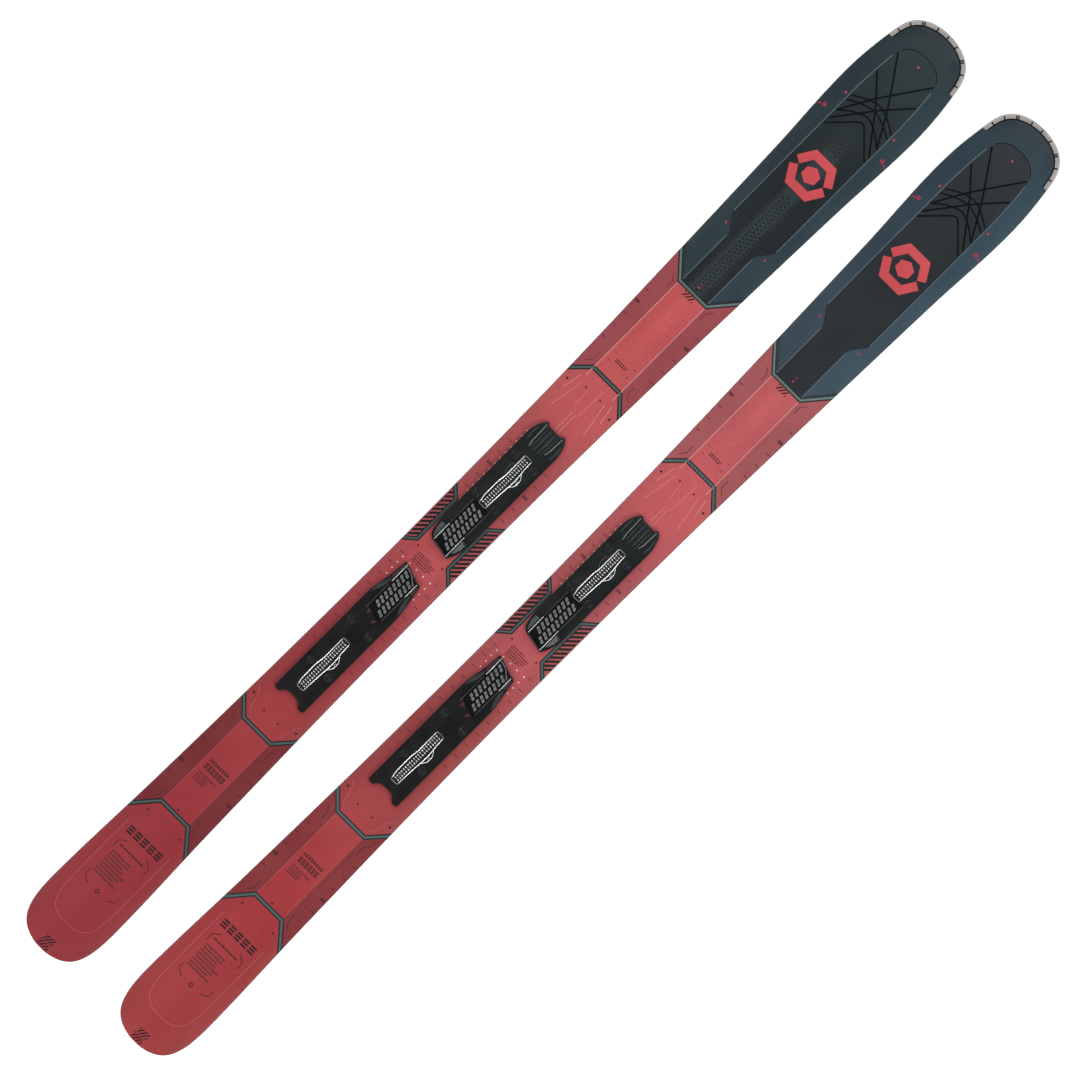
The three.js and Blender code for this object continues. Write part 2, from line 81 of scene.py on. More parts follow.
CORE_FRONT, CORE_REAR = 560, -620
BASE_JOINTS = (-425, 330)
BUTT_GAP = 0.3
GUARD_WIDTH, GUARD_GAP, GUARD_PROUD = 7, 1, 0.3
LAYER_INSET = GUARD_WIDTH + GUARD_GAP
TIP_STEP = EDGE_FRONT + 1
LAYER_FRONT = HALF_LENGTH - LAYER_INSET
SHEET_INSET = 0.7  # the topsheet ends this far inside the outline
SHEET_JOINT = 438  # the red sheet ends here, under the blue-grey one

DECK = CAMBER + THICK_MIDDLE
PLATE_BOTTOM = low_corner("left_toe_track").z
PLATE_GAP, PLATE_HEIGHT = 0.15, 5
PLATE_TOP = DECK + PLATE_GAP + PLATE_HEIGHT


def curve_through(points):
    """A smooth curve through a few points (y, value)."""
    last = len(points) - 1
    slopes = []
    for i in range(len(points)):
        (y0, v0), (y1, v1) = points[max(i - 1, 0)], points[min(i + 1, last)]
        slopes.append((v1 - v0) / (y1 - y0))

    def value(y):
        i = 0
        while i < last - 1 and y > points[i + 1][0]:
            i += 1
        (y0, v0), (y1, v1) = points[i], points[i + 1]
        span = y1 - y0
        s = (y - y0) / span
        rise = s * s * (3 - 2 * s)
        bend = s * (1 - s) * (1 - s) * slopes[i] + s * s * (s - 1) * slopes[i + 1]
        return v0 * (1 - rise) + v1 * rise + bend * span

    return value


full_width = curve_through(WIDTHS)


def ease(a, b, s):
    """From a to b, level at both ends, as s goes from 0 to 1."""
    t = min(max(s, 0), 1)
    return a + (b - a) * t * t * (3 - 2 * t)


def outline(y, inset=0):
    """Half the ski's width at y; with an inset, the rounded end is drawn that much smaller all round."""
    end = TIP if y > 0 else TAIL
    reach = (abs(y) - end["start"]) / (end["length"] - inset)
    share = 1
    if reach > 0:
        share = (1 - (min(reach, 1) * END_REACH) ** end["power"]) ** (1 / END_ROUNDNESS)
    return (full_width(y) / 2 - inset) * share


def sole_height(y):
    if y > TIP_CONTACT:
        return TIP_RISE * ((y - TIP_CONTACT) / (HALF_LENGTH - TIP_CONTACT)) ** RISE_POWER
    if y < TAIL_CONTACT:
        return TAIL_RISE * ((TAIL_CONTACT - y) / (HALF_LENGTH + TAIL_CONTACT)) ** RISE_POWER
    if y > FLAT_FRONT:
        return ease(CAMBER, 0, (y - FLAT_FRONT) / (TIP_CONTACT - FLAT_FRONT))
    return ease(CAMBER, 0, (FLAT_REAR - y) / (FLAT_REAR - TAIL_CONTACT))


def thickness(y):
    if y > 0:
        return ease(THICK_MIDDLE, THICK_TIP, (y - FLAT_FRONT) / (HALF_LENGTH - FLAT_FRONT))
    return ease(THICK_MIDDLE, THICK_TAIL, (FLAT_REAR - y) / (FLAT_REAR + HALF_LENGTH))


def layer_half(y, side):
    """Half the width of a layer that stays `side` inside the outline, and inside the guard at the tip."""
    return outline(y) - side if y < TIP_STEP else outline(y, LAYER_INSET)


def crease_at(y):
    return min(CREASE, layer_half(y, 0) / 2)


def top_height(x, y):
    """The height of the ski's top, which is level inside the crease and falls away outside it."""
    crease = crease_at(y)
    fall = CROWN_SHARE * (thickness(y) - CROWN_FROM)
    fallen = fall * max(abs(x) - crease, 0) / (outline(y) - crease)
    return sole_height(y) + thickness(y) - fallen


def spread(start, end, count):
    return [start + (end - start) * i / count for i in range(count)]


def end_spread(end, start, inset, count):
    """Values of y from `start` to the end of the ski, closer together as the outline turns in."""
    length = end["length"] - inset
    first = math.asin((start - end["start"]) / length)
    return [end["start"] + length * math.sin(angle) for angle in spread(first, math.pi / 2, count)]


STATIONS = [
    -HALF_LENGTH,
    *[-y for y in reversed(end_spread(TAIL, 1 - EDGE_REAR, 0, 16))],
    *spread(EDGE_REAR, TAIL_CONTACT, 18),
    *spread(TAIL_CONTACT, FLAT_REAR, 16),
    *spread(FLAT_REAR, FLAT_FRONT, 28),
    *spread(FLAT_FRONT, TIP_CONTACT, 34),
    *spread(TIP_CONTACT, EDGE_FRONT, 32),
    EDGE_FRONT,
    *end_spread(TIP, TIP_STEP, LAYER_INSET, 20),
    LAYER_FRONT,
]


def stations_between(start, end):
    return [start, *[y for y in STATIONS if start < y < end], end]


# ---- Meshes --------------------------------------------------------------------------------------

class Shell:
    """A mesh under construction: closed surfaces, in millimetres."""

    def __init__(self):
        self.points = []
        self.faces = []

    def add(self, points, faces):
        base = len(self.points)
        self.points += points
        self.faces += [[base + i for i in face] for face in faces]
        return self

    def join(self, other):
        return self.add(other.points, other.faces)


def loft(rings):
    """A closed surface through a row of closed rings of points, with flat ends."""
    size = len(rings[0])
    points = [point for ring in rings for point in ring]
    faces = []
    for i in range(len(rings) - 1):
        for j in range(size):
            a, b = i * size + j, i * size + (j + 1) % size
            faces.append([a, b, b + size, a + size])
    last = (len(rings) - 1) * size
    faces.append(list(range(size - 1, -1, -1)))
    faces.append([last + j for j in range(size)])
    return Shell().add(points, faces)


def offset(loop, distance):
    """The loop moved to its left by `distance`: inwards when it runs anticlockwise."""
    moved = []
    for i, (x, y) in enumerate(loop):
        x0, y0 = loop[i - 1]
        x1, y1 = loop[(i + 1) % len(loop)]
        before = Vector((y0 - y, x - x0)).normalized()
        after = Vector((y - y1, x1 - x)).normalized()
        lean = before + after
        scale = distance / max(1 + before.dot(after), 0.3)
        moved.append((x + lean.x * scale, y + lean.y * scale))
    return moved


def area(loop):
    pairs = zip(loop, loop[1:] + loop[:1])
    return sum(x0 * y1 - x1 * y0 for (x0, y0), (x1, y1) in pairs) / 2


def anticlockwise(loop):
    return loop if area(loop) > 0 else loop[::-1]


def rounded(corners, steps=4):
    """A loop with the given corners (x, y, radius), each drawn as a short curve."""
    loop = []
    for i, corner in enumerate(corners):
        here = Vector(corner[:2])
        radius = corner[2] if len(corner) > 2 else 0
        if not radius:
            loop.append(tuple(here))
            continue
        before = Vector(corners[i - 1][:2]) - here
        after = Vector(corners[(i + 1) % len(corners)][:2]) - here
        start = here + before.normalized() * radius
        end = here + after.normalized() * radius
        for k in range(steps + 1):
            t = k / steps
            loop.append(tuple(start * (1 - t) ** 2 + here * 2 * t * (1 - t) + end * t * t))
    return loop


def rectangle(x0, x1, y0, y1):
    return [(x0, y0), (x1, y0), (x1, y1), (x0, y1)]


def circle(x, y, radius, sides=12):
    turns = [2 * math.pi * (i + 0.5) / sides for i in range(sides)]
    return [(x + radius * math.cos(turn), y + radius * math.sin(turn)) for turn in turns]


def slab(outer, bottom, top, edge=0, holes=()):
    """A flat plate between two heights, with its upper edges rounded by `edge`, round the holes too."""
    loops = [anticlockwise(outer), *[anticlockwise(hole)[::-1] for hole in holes]]
    levels = [(0, bottom)]
    if edge:
        for k in range(4):
            turn = math.pi / 6 * k
            levels.append((edge * (1 - math.cos(turn)), top - edge * (1 - math.sin(turn))))
    else:
        levels.append((0, top))
    points = []
    for inset, z in levels:
        for loop in loops:
            points += [(x, y, z) for x, y in (offset(loop, inset) if inset else loop)]
    count = sum(len(loop) for loop in loops)
    faces = []
    for level in range(len(levels) - 1):
        start = level * count
        for loop in loops:
            for j in range(len(loop)):
                a, b = start + j, start + (j + 1) % len(loop)
                faces.append([a, b, b + count, a + count])
            start += len(loop)
    flat = [[Vector((x, y, 0)) for x, y in loop] for loop in loops]
    last = (len(levels) - 1) * count
    for triangle in tessellate_polygon(flat):
        a, b, c = triangle
        faces.append([c, b, a])
        faces.append([last + a, last + b, last + c])
    return Shell().add(points, faces)


def rim(outer, inner, bottom, top, edge):
    """A closed wall between two loops with as many points each, with its upper edges rounded."""
    levels = [(0, bottom), (0, top - edge), (0.3 * edge, top - 0.3 * edge), (edge, top)]
    rows = [[(*point, z) for point in offset(outer, inset)] for inset, z in levels]
    rows += [[(*point, z) for point in offset(inner, -inset)] for inset, z in reversed(levels)]
    size = len(outer)
    faces = []
    for k in range(len(rows)):
        a, b = k * size, (k + 1) % len(rows) * size
        for j in range(size):
            faces.append([a + j, a + (j + 1) % size, b + (j + 1) % size, b + j])
    return Shell().add([point for row in rows for point in row], faces)


# ---- Thin films that lie on the ski's curved top ---------------------------------------------------

def polygon(loop):
    """A flat shape as a list of triangles."""
    flat = [Vector((x, y, 0)) for x, y in loop]
    return [[loop[i] for i in triangle] for triangle in tessellate_polygon([flat])]


def line(points, width):
    """A stroke of the given width along a row of points, with mitred corners."""
    ends = []
    for i, here in enumerate(points):
        before = points[max(i - 1, 0)]
        after = points[min(i + 1, len(points) - 1)]
        into = (Vector(here) - Vector(before)).normalized()
        out = (Vector(after) - Vector(here)).normalized()
        into, out = (into, out) if into.length and out.length else (into + out, into + out)
        lean = Vector((-into.y, into.x)) + Vector((-out.y, out.x))
        scale = width / 2 / max(1 + into.dot(out), 0.2)
        ends.append((tuple(Vector(here) + lean * scale), tuple(Vector(here) - lean * scale)))
    return [[a0, b0, b1, a1] for (a0, b0), (a1, b1) in zip(ends, ends[1:])]


def mirrored(points):
    """The same points beyond the ski's centre line, in the opposite order."""
    return [(-x, y) for x, y in reversed(points)]


def whole(half):
    """A row of points that ends on the centre line, with its mirror image run on from there."""
    return half + mirrored(half[:-1])


def both_sides(shape):
    """The shape and its mirror image across the ski's centre line."""
    return [shape, [[(-x, y) for x, y in part] for part in shape]]


def cut_part(part, axis, at):
    """A convex part cut in two where its coordinate number `axis` is `at`."""
    low, high = [], []
    for here, there in zip(part, part[1:] + part[:1]):
        a, b = here[axis] - at, there[axis] - at
        if a <= 0:
            low.append(here)
        if a >= 0:
            high.append(here)
        if a * b < 0:
            first, second = sorted((here, there))
            share = (at - first[axis]) / (second[axis] - first[axis])
            point = [p + (q - p) * share for p, q in zip(first, second)]
            point[axis] = at
            low.append(tuple(point))
            high.append(tuple(point))
    return low, high


def cut_at(parts, axis, places):
    done = []
    for part in parts:
        values = [point[axis] for point in part]
        rest = part
        for at in places:
            if min(values) < at < max(values):
                low, rest = cut_part(rest, axis, at)
                done.append(low)
        done.append(rest)
    return [part for part in done if len(part) > 2 and abs(area(part)) > 1e-6]


def film(shapes, low, high):
    """Closed films, one for each shape, from `low` to `high` above the top of the ski."""
    shell = Shell()
    for shape in shapes:
        strips = cut_at(shape, 1, STATIONS)
        parts = [anticlockwise(part) for part in cut_at(strips, 0, (-CREASE, CREASE))]
        index = {}
        for part in parts:
            for point in part:
                index.setdefault(point, len(index))
        edges = {}
        for part in parts:
            for a, b in zip(part, part[1:] + part[:1]):
                edges[index[a], index[b]] = True
        count = len(index)
        points = [(x, y, top_height(x, y) + lift) for lift in (low, high) for x, y in index]
        faces = []
        for part in parts:
            ring = [index[point] for point in part]
            faces.append([count + i for i in ring])
            faces.append(ring[::-1])
        for a, b in edges:
            if (b, a) not in edges:
                faces.append([a, b, count + b, count + a])
        shell.add(points, faces)
    return shell


# ---- Materials -----------------------------------------------------------------------------------

def linear(red, green, blue):
    """A colour on the usual 0 to 255 scale, as the light it stands for."""
    def decode(value):
        share = value / 255
        return share / 12.92 if share <= 0.04045 else ((share + 0.055) / 1.055) ** 2.4

    return tuple(decode(value) for value in (red, green, blue))


SKY_LIGHT = 0.6  # the share of light from all round, then those of the softboxes
KEY_LIGHT = 0.6
SIDE_LIGHT = 0.4
FLOOR_LIGHT = SKY_LIGHT + KEY_LIGHT + 3 * SIDE_LIGHT
SHEEN = 0.006  # what a satin surface reflects of the sky above it, on top of its own colour
DARKEST = 0.0004


def paint(red, green, blue):
    """The surface colour that looks like this colour in the scene's light."""
    return (*[max(value - SHEEN, DARKEST) / FLOOR_LIGHT for value in linear(red, green, blue)], 1)


class Nodes:
    """A material's node tree, with short ways to add and join nodes. Lengths in it are metres."""

    def __init__(self, name):
        self.material = bpy.data.materials.new(name)
        self.material.use_nodes = True
        self.tree = self.material.node_tree
        self.tree.nodes.clear()
        output = self.add("ShaderNodeOutputMaterial")
        self.shader = self.add("ShaderNodeBsdfPrincipled")
        self.feed(output.inputs["Surface"], self.shader.outputs["BSDF"])
        self.place = self.add("ShaderNodeTexCoord").outputs["Object"]

    def add(self, kind, **settings):
        node = self.tree.nodes.new(kind)
        for key, value in settings.items():
            setattr(node, key, value)
        return node

    def feed(self, socket, value):
        """Join another node's output to a socket, or set the socket to a plain value."""
        if isinstance(value, bpy.types.NodeSocket):
            self.tree.links.new(value, socket)
        else:
            socket.default_value = value

    def noise(self, scale, stretch=(1, 1, 1), detail=3):
        mapping = self.add("ShaderNodeMapping")
        self.feed(mapping.inputs["Scale"], stretch)
        self.feed(mapping.inputs["Vector"], self.place)
        node = self.add("ShaderNodeTexNoise")
        self.feed(node.inputs["Scale"], scale)
        self.feed(node.inputs["Detail"], detail)
        self.feed(node.inputs["Vector"], mapping.outputs["Vector"])
        return node.outputs["Fac"]

    def math(self, operation, *values):
        node = self.add("ShaderNodeMath", operation=operation)
        for socket, value in zip(node.inputs, values):
            self.feed(socket, value)
        return node.outputs[0]

    def ranged(self, value, low, high, to_low, to_high, kind="SMOOTHSTEP"):
        node = self.add("ShaderNodeMapRange", interpolation_type=kind)
        for socket, number in zip(node.inputs, (value, low, high, to_low, to_high)):
            self.feed(socket, number)
        return node.outputs[0]

    def axis(self, name, place=None):
        """One coordinate of a place, which is that of the surface unless another is given."""
        node = self.add("ShaderNodeSeparateXYZ")
        self.feed(node.inputs[0], place or self.place)
        return node.outputs[name]

    def off_centre(self):
        """The distance from the ski's centre line."""
        return self.math("ABSOLUTE", self.axis("X"))

    def off_point(self, y):
        """The distance along the ski from a point at y."""
        return self.math("ABSOLUTE", self.math("SUBTRACT", self.axis("Y"), y))

    def by_ski(self, left, right):
        """One colour on the left ski and another on the right one: painted light, since the two skis are lit
        a little differently.
        """
        location = self.add("ShaderNodeObjectInfo").outputs["Location"]
        return self.mix(self.math("GREATER_THAN", self.axis("X", location), 0), left, right)

    def ramp(self, value, stops):
        node = self.add("ShaderNodeValToRGB")
        elements = node.color_ramp.elements
        while len(elements) < len(stops):
            elements.new(0.5)
        for element, (position, colour) in zip(elements, stops):
            element.position = position
            element.color = colour
        self.feed(node.inputs[0], value)
        return node.outputs["Color"]

    def mix(self, share, first, second, blend="MIX"):
        node = self.add("ShaderNodeMix", data_type="RGBA", blend_type=blend)
        self.feed(node.inputs[0], share)
        self.feed(node.inputs[6], first)
        self.feed(node.inputs[7], second)
        return node.outputs[2]

    def scaled(self, colour, factor):
        grey = self.add("ShaderNodeCombineColor")
        for i in range(3):
            self.feed(grey.inputs[i], factor)
        return self.mix(1, colour, grey.outputs[0], "MULTIPLY")

    def varied(self, colour, fac, amount):
        """The colour made darker and lighter by up to `amount` with the tone of a noise."""
        return self.scaled(colour, self.by_tone(fac, 1 - amount, 1 + amount))

    def by_tone(self, fac, low, high):
        """From low to high over the middle of a noise's range, where most of its values lie."""
        return self.ranged(fac, 0.3, 0.7, low, high)

    def bump(self, height, strength, distance=0.0002):
        node = self.add("ShaderNodeBump")
        self.feed(node.inputs["Strength"], strength)
        self.feed(node.inputs["Distance"], distance)
        self.feed(node.inputs["Height"], height)
        self.feed(self.shader.inputs["Normal"], node.outputs["Normal"])

    def finish(self, colour, roughness, metallic=0, specular=0.3):
        inputs = self.shader.inputs
        self.feed(inputs["Base Color"], colour)
        self.feed(inputs["Roughness"], roughness)
        self.feed(inputs["Metallic"], metallic)
        self.feed(inputs["Specular IOR Level"], specular)
        return self.material

    def woven(self, colour, cloudiness, specular):
        """A satin film over a fine weave, a little cloudy in tone."""
        cloud = self.noise(9, (1.6, 0.8, 1))
        thread = self.noise(520, (1, 0.5, 1), 2)
        tone = self.varied(self.varied(colour, cloud, cloudiness), thread, 0.07)
        self.bump(self.noise(1400, (1, 0.35, 1), 2), 0.16, 0.0001)
        return self.finish(tone, self.by_tone(cloud, 0.38, 0.5), specular=specular)


RED_STOPS = [  # y in metres, then the red of the left and of the right ski, which differ by painted light
    (-0.88, (151, 51, 57), (162, 59, 61)), (-0.6, (153, 47, 54), (164, 51, 56)),
    (-0.44, (159, 56, 59), (163, 63, 67)), (-0.3, (164, 58, 65), (166, 69, 69)),
    (-0.15, (182, 77, 81), (184, 84, 88)), (0.03, (173, 77, 81), (181, 88, 93)),
    (0.17, (190, 84, 86), (196, 88, 91)), (0.28, (190, 83, 84), (190, 89, 94)),
    (0.42, (190, 81, 84), (186, 87, 91)),
]


def red_sheet():
    """The red of the body: brighter towards the tip, with a painted highlight along the middle and painted
    shade beside the tracks.
    """
    nodes = Nodes("red_topsheet_print")
    low, high = RED_STOPS[0][0], RED_STOPS[-1][0]
    along = nodes.ranged(nodes.axis("Y"), low, high, 0, 1, "LINEAR")
    ramps = []
    for ski in (1, 2):
        stops = [((stop[0] - low) / (high - low), paint(*stop[ski])) for stop in RED_STOPS]
        ramps.append(nodes.ramp(along, stops))
    across = nodes.off_centre()
    # darker outside the creases: painted shade on the sloping flanks
    colour = nodes.scaled(nodes.by_ski(*ramps), nodes.ranged(across, 0.024, 0.05, 1.02, 0.93))

    def shaded(tint, across_share, along_share, change):
        both = nodes.math("MULTIPLY", across_share, along_share)
        return nodes.scaled(tint, nodes.math("MULTIPLY_ADD", both, change, 1))

    # painted shade on the flanks beside the tracks, where the plates shade the topsheet
    track_shade = nodes.ranged(nodes.off_point(-0.14), 0.2, 0.32, 1, 0)
    colour = shaded(colour, nodes.ranged(across, 0.02, 0.034, 0, 1), track_shade, -0.12)
    # a painted highlight along the middle, in front of the toe track
    middle_highlight = nodes.ranged(nodes.off_point(0.33), 0.03, 0.09, 1, 0)
    colour = shaded(colour, nodes.ranged(across, 0.002, 0.018, 1, 0), middle_highlight, 0.1)
    return nodes.woven(colour, 0.05, 0.2)


def teal_sheet():
    """The blue-grey of the tip: greener towards the front, darker at its very tip, with painted shade on its
    left, away from the light.
    """
    nodes = Nodes("teal_topsheet_print")
    along = nodes.ranged(nodes.axis("Y"), 0.42, 0.88, 0, 1)
    left = nodes.mix(along, paint(42, 61, 70), paint(28, 52, 60))
    right = nodes.mix(along, paint(59, 79, 92), paint(36, 63, 76))
    colour = nodes.by_ski(left, right)
    # painted shade: darker towards the left, away from the light on the right
    colour = nodes.scaled(colour, nodes.ranged(nodes.axis("X"), -0.06, 0.04, 0.7, 1, "LINEAR"))
    colour = nodes.scaled(colour, nodes.ranged(nodes.axis("Y"), 0.83, 0.885, 1, 0.62))
    return nodes.woven(colour, 0.06, 0.2)


def panel_sheet():
    """The near-black panel of the tip, paler at the front and, on the left ski, along its rear middle."""
    nodes = Nodes("dark_panel_print")
    y = nodes.axis("Y")
    along = nodes.ranged(y, 0.6, 0.84, 0, 1)
    left = nodes.mix(along, paint(35, 41, 44), paint(42, 54, 56))
    right = nodes.mix(along, paint(43, 48, 52), paint(42, 50, 54))
    middle = nodes.ranged(nodes.off_centre(), 0.008, 0.018, 1, 0)
    middle = nodes.math("MULTIPLY", middle, nodes.ranged(y, 0.64, 0.74, 1, 0))
    left = nodes.mix(middle, left, paint(50, 60, 62))
    return nodes.woven(nodes.by_ski(left, right), 0.06, 0.12)


def track_plastic():
    """Black moulded plastic, a little greener and paler at the front of the toe part than behind it, with
    painted shade towards its sides.
    """
    nodes = Nodes("track_plastic")
    y = nodes.axis("Y")
    colour = nodes.mix(nodes.ranged(y, -0.2, 0.03, 0, 1), paint(19, 18, 18), paint(25, 29, 29))
    colour = nodes.mix(nodes.ranged(y, 0.07, 0.11, 0, 1), colour, paint(28, 35, 35))
    # painted shade: darker towards the sides, standing for the shade on sloping flanks
    colour = nodes.scaled(colour, nodes.ranged(nodes.off_centre(), 0.021, 0.027, 1, 0.72))
    cloud = nodes.noise(60, (1, 0.5, 1))
    pits = nodes.noise(900, detail=4)
    nodes.bump(pits, 0.3, 0.00015)
    tone = nodes.varied(nodes.varied(colour, cloud, 0.16), pits, 0.1)
    return nodes.finish(tone, nodes.by_tone(cloud, 0.4, 0.55), specular=0.14)


def wood():
    """Planed strips running along the ski, in two tones."""
    nodes = Nodes("core_wood_grain")
    strip = nodes.math("FRACT", nodes.math("MULTIPLY", nodes.axis("X"), 70))
    seam = nodes.math("GREATER_THAN", strip, 0.5)
    fibre = nodes.noise(160, (3, 0.12, 3), 6)
    colour = nodes.mix(seam, paint(206, 170, 120), paint(180, 140, 92))
    nodes.bump(fibre, 0.2)
    return nodes.finish(nodes.varied(colour, fibre, 0.16), 0.6)


def sintered():
    """The black running base, with the fine lengthwise structure that a stone grinder leaves."""
    nodes = Nodes("sintered_base")
    structure = nodes.noise(2600, (1, 0.02, 1), 2)
    cloud = nodes.noise(16)
    nodes.bump(structure, 0.3, 0.0001)
    tone = nodes.varied(nodes.varied(paint(38, 40, 42), structure, 0.16), cloud, 0.08)
    return nodes.finish(tone, nodes.by_tone(cloud, 0.34, 0.46), specular=0.35)


def printed(name, colour, other=None):
    """Satin ink: a little uneven in tone, with the fine grain of the film over it."""
    nodes = Nodes(f"{name}_ink")
    tint = nodes.by_ski(paint(*colour), paint(*other)) if other else paint(*colour)
    cloud = nodes.noise(14)
    grain = nodes.noise(900, (1, 0.4, 1), 2)
    nodes.bump(grain, 0.12, 0.0001)
    tone = nodes.varied(nodes.varied(tint, cloud, 0.05), grain, 0.04)
    return nodes.finish(tone, nodes.by_tone(cloud, 0.4, 0.52), specular=0.2)


def moulded(name, colour, roughness, specular=0.25, grain=900, depth=0.3):
    """Moulded plastic or rubber: a fine spark-eroded grain, a touch shinier where it has been handled."""
    nodes = Nodes(f"moulded_{name}")
    cloud = nodes.noise(30)
    pits = nodes.noise(grain, detail=4)
    nodes.bump(pits, depth, 0.00015)
    tone = nodes.varied(nodes.varied(paint(*colour), cloud, 0.12), pits, 0.1)
    return nodes.finish(tone, nodes.by_tone(cloud, roughness - 0.08, roughness + 0.06), specular=specular)


def brushed(name, metal, roughness, stretch=(1, 12, 1)):
    """Bright metal with fine scratches, drawn out across the direction in which they are squeezed."""
    nodes = Nodes(f"brushed_{name}")
    scratch = nodes.noise(700, stretch, 4)
    cloud = nodes.noise(40)
    nodes.bump(scratch, 0.1, 0.00005)
    tone = nodes.varied(nodes.varied((*metal, 1), scratch, 0.08), cloud, 0.05)
    return nodes.finish(tone, nodes.by_tone(scratch, roughness, roughness + 0.12), metallic=1)


INKS = {  # the ink's colour on the left ski, then on the right one where it differs: the difference is painted light
    "side_front": [(153, 70, 76), (164, 85, 89)],
    "side_rear": [(120, 40, 45), (133, 48, 51)],
    "frame_line": [(74, 92, 92), (82, 100, 101)],
    "front_line": [(98, 118, 116), (104, 123, 121)],
    "border": [(30, 32, 34), (38, 40, 42)],
    "stripe": [(18, 21, 22), (24, 27, 28)],
    "mark": [(84, 38, 42)],
    "black_mark": [(34, 20, 23)],
    "pale": [(222, 138, 138)],
    "faint": [(180, 86, 88), (190, 92, 94)],
    "dots": [(236, 194, 186)],
    "shade": [(118, 50, 54)],
    "motif": [(206, 78, 84)],
    "motif_shadow": [(28, 33, 35)],
    "tip_mark": [(190, 52, 84)],
    "tip_line": [(98, 114, 119)],
    "hex": [(20, 27, 29), (36, 41, 44)],
    "faint_hex": [(34, 40, 42), (42, 47, 50)],
    "dark_triangle": [(78, 34, 46)],
}
PLASTICS = {  # colour, roughness and specular level
    "strap": ((14, 18, 21), 0.6, 0.06),
    "guard": ((172, 170, 168), 0.5, 0.3),
    "guard_inlay": ((158, 150, 142), 0.5, 0.3),
    "guard_line": ((16, 17, 19), 0.6, 0.06),
    "sidewall": ((44, 42, 44), 0.5),
    "spacer": ((44, 42, 44), 0.5),
    "plate_ridge": ((108, 116, 116), 0.4, 0.3),
    "plate_lip": ((64, 68, 68), 0.4, 0.3),
    "seat": ((42, 44, 45), 0.4),
    "grip_dot": ((124, 130, 128), 0.5, 0.3),
    "grip_face": ((46, 51, 51), 0.5, 0.2),
    "warm_nose": ((64, 40, 44), 0.35, 0.3),
    "rack_floor": ((26, 28, 30), 0.5, 0.2),
    "pad": ((12, 13, 14), 0.75, 0.08, 700, 0.5),
    "check": ((52, 54, 55), 0.7, 0.1, 700, 0.5),
    "pad_ridge": ((138, 141, 140), 0.5, 0.2),
    "pad_lip": ((128, 126, 130), 0.5, 0.2),
    "frame_end": ((48, 50, 52), 0.35, 0.3),
}
METALS = {  # the metal's colour and roughness, and how its scratches are squeezed
    "edge": ((0.2, 0.205, 0.21), 0.4, (1, 0.1, 1)),
    "laminate": ((0.66, 0.67, 0.68), 0.35, (1, 0.1, 1)),
    "rack": ((0.56, 0.575, 0.575), 0.35),
    "teeth": ((0.5, 0.515, 0.515), 0.36),
    "rack_dull": ((0.17, 0.177, 0.177), 0.4),
    "frame": ((0.42, 0.43, 0.43), 0.3),
    "screw": ((0.026, 0.028, 0.03), 0.35),
}
MATERIALS = {
    "red": red_sheet(),
    "teal": teal_sheet(),
    "panel": panel_sheet(),
    "plate": track_plastic(),
    "wood": wood(),
    "base": sintered(),
}
for make, table in ((printed, INKS), (moulded, PLASTICS), (brushed, METALS)):
    MATERIALS.update({name: make(name, *settings) for name, settings in table.items()})


# ---- Pieces --------------------------------------------------------------------------------------

SHARP = math.radians(32)


def pieces(name, shell, material, nodes=()):
    """The same piece for both skis, each riding on its own ski and standing for its own CAD nodes."""
    mesh = bpy.data.meshes.new(name)
    mesh.from_pydata([(x * MM, y * MM, z * MM) for x, y, z in shell.points], [], shell.faces)
    mesh.validate()
    mesh.shade_smooth()
    mesh.set_sharp_from_angle(angle=SHARP)
    mesh.materials.append(MATERIALS[material])
    for side in SKIS:
        thing = bpy.data.objects.new(f"{side}_{name}_look", mesh if side == SKIS[0] else mesh.copy())
        thing.location.x = SKI_X[side]
        bpy.context.scene.collection.objects.link(thing)
        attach(thing, f"{side}_ski")
        if nodes:
            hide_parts(*[f"{side}_{node}" for node in nodes])


# ---- The sandwich --------------------------------------------------------------------------------

CREASE_ROUND = 1.2
SHEET_ROUND = 0.45
BASE_INSET = 0.3
EDGE_CHAMFER = 0.3
FOOT_INSET, FOOT_HEIGHT = 0.5, 2.2  # the sidewall stands upright here, then leans in to its head
HEAD_INSET, HEAD_CHAMFER = 1.7, 0.4
SPACER_INSET, SPACER_ROUND = 1, 0.3
FILM_GAP = 0.02


def crowned_ring(y, half, top, bottom, edge):
    """One cross-section of a layer that follows the crowned top, with its upper corners rounded."""
    crease = crease_at(y)
    inner = half - edge
    over = [(-half, -edge), (-half + 0.3 * edge, -0.3 * edge), (-inner, 0)]
    beside_crease = [crease - CREASE_ROUND, crease, crease + CREASE_ROUND]
    over += [(x, 0) for x in (*[-x for x in reversed(beside_crease)], 0, *beside_crease)]
    over += [(inner, 0), (half - 0.3 * edge, -0.3 * edge), (half, -edge)]
    ring = [(x, y, top(x, y) + drop) for x, drop in over]
    return ring + [(x, y, bottom(x, y)) for x in (half, crease, -crease, -half)]


def crowned_layer(start, end, depth, bottom, side, edge):
    """A layer under the top: `depth` below it above, and down to bottom(x, y)."""
    def top(x, y):
        return top_height(x, y) - depth

    along = stations_between(start, end)
    return loft([crowned_ring(y, layer_half(y, side), top, bottom, edge) for y in along])


def base_half(y):
    return outline(y) - BASE_INSET if y <= EDGE_REAR - 1 else layer_half(y, EDGE_WIDTH + BASE_INSET)


def base_length(start, end):
    """One length of the running base."""
    rings = []
    for y in stations_between(start, end):
        z, half = sole_height(y), base_half(y)
        rings.append([(-half, y, z), (-half, y, z + SOLE), (half, y, z + SOLE), (half, y, z)])
    return loft(rings)


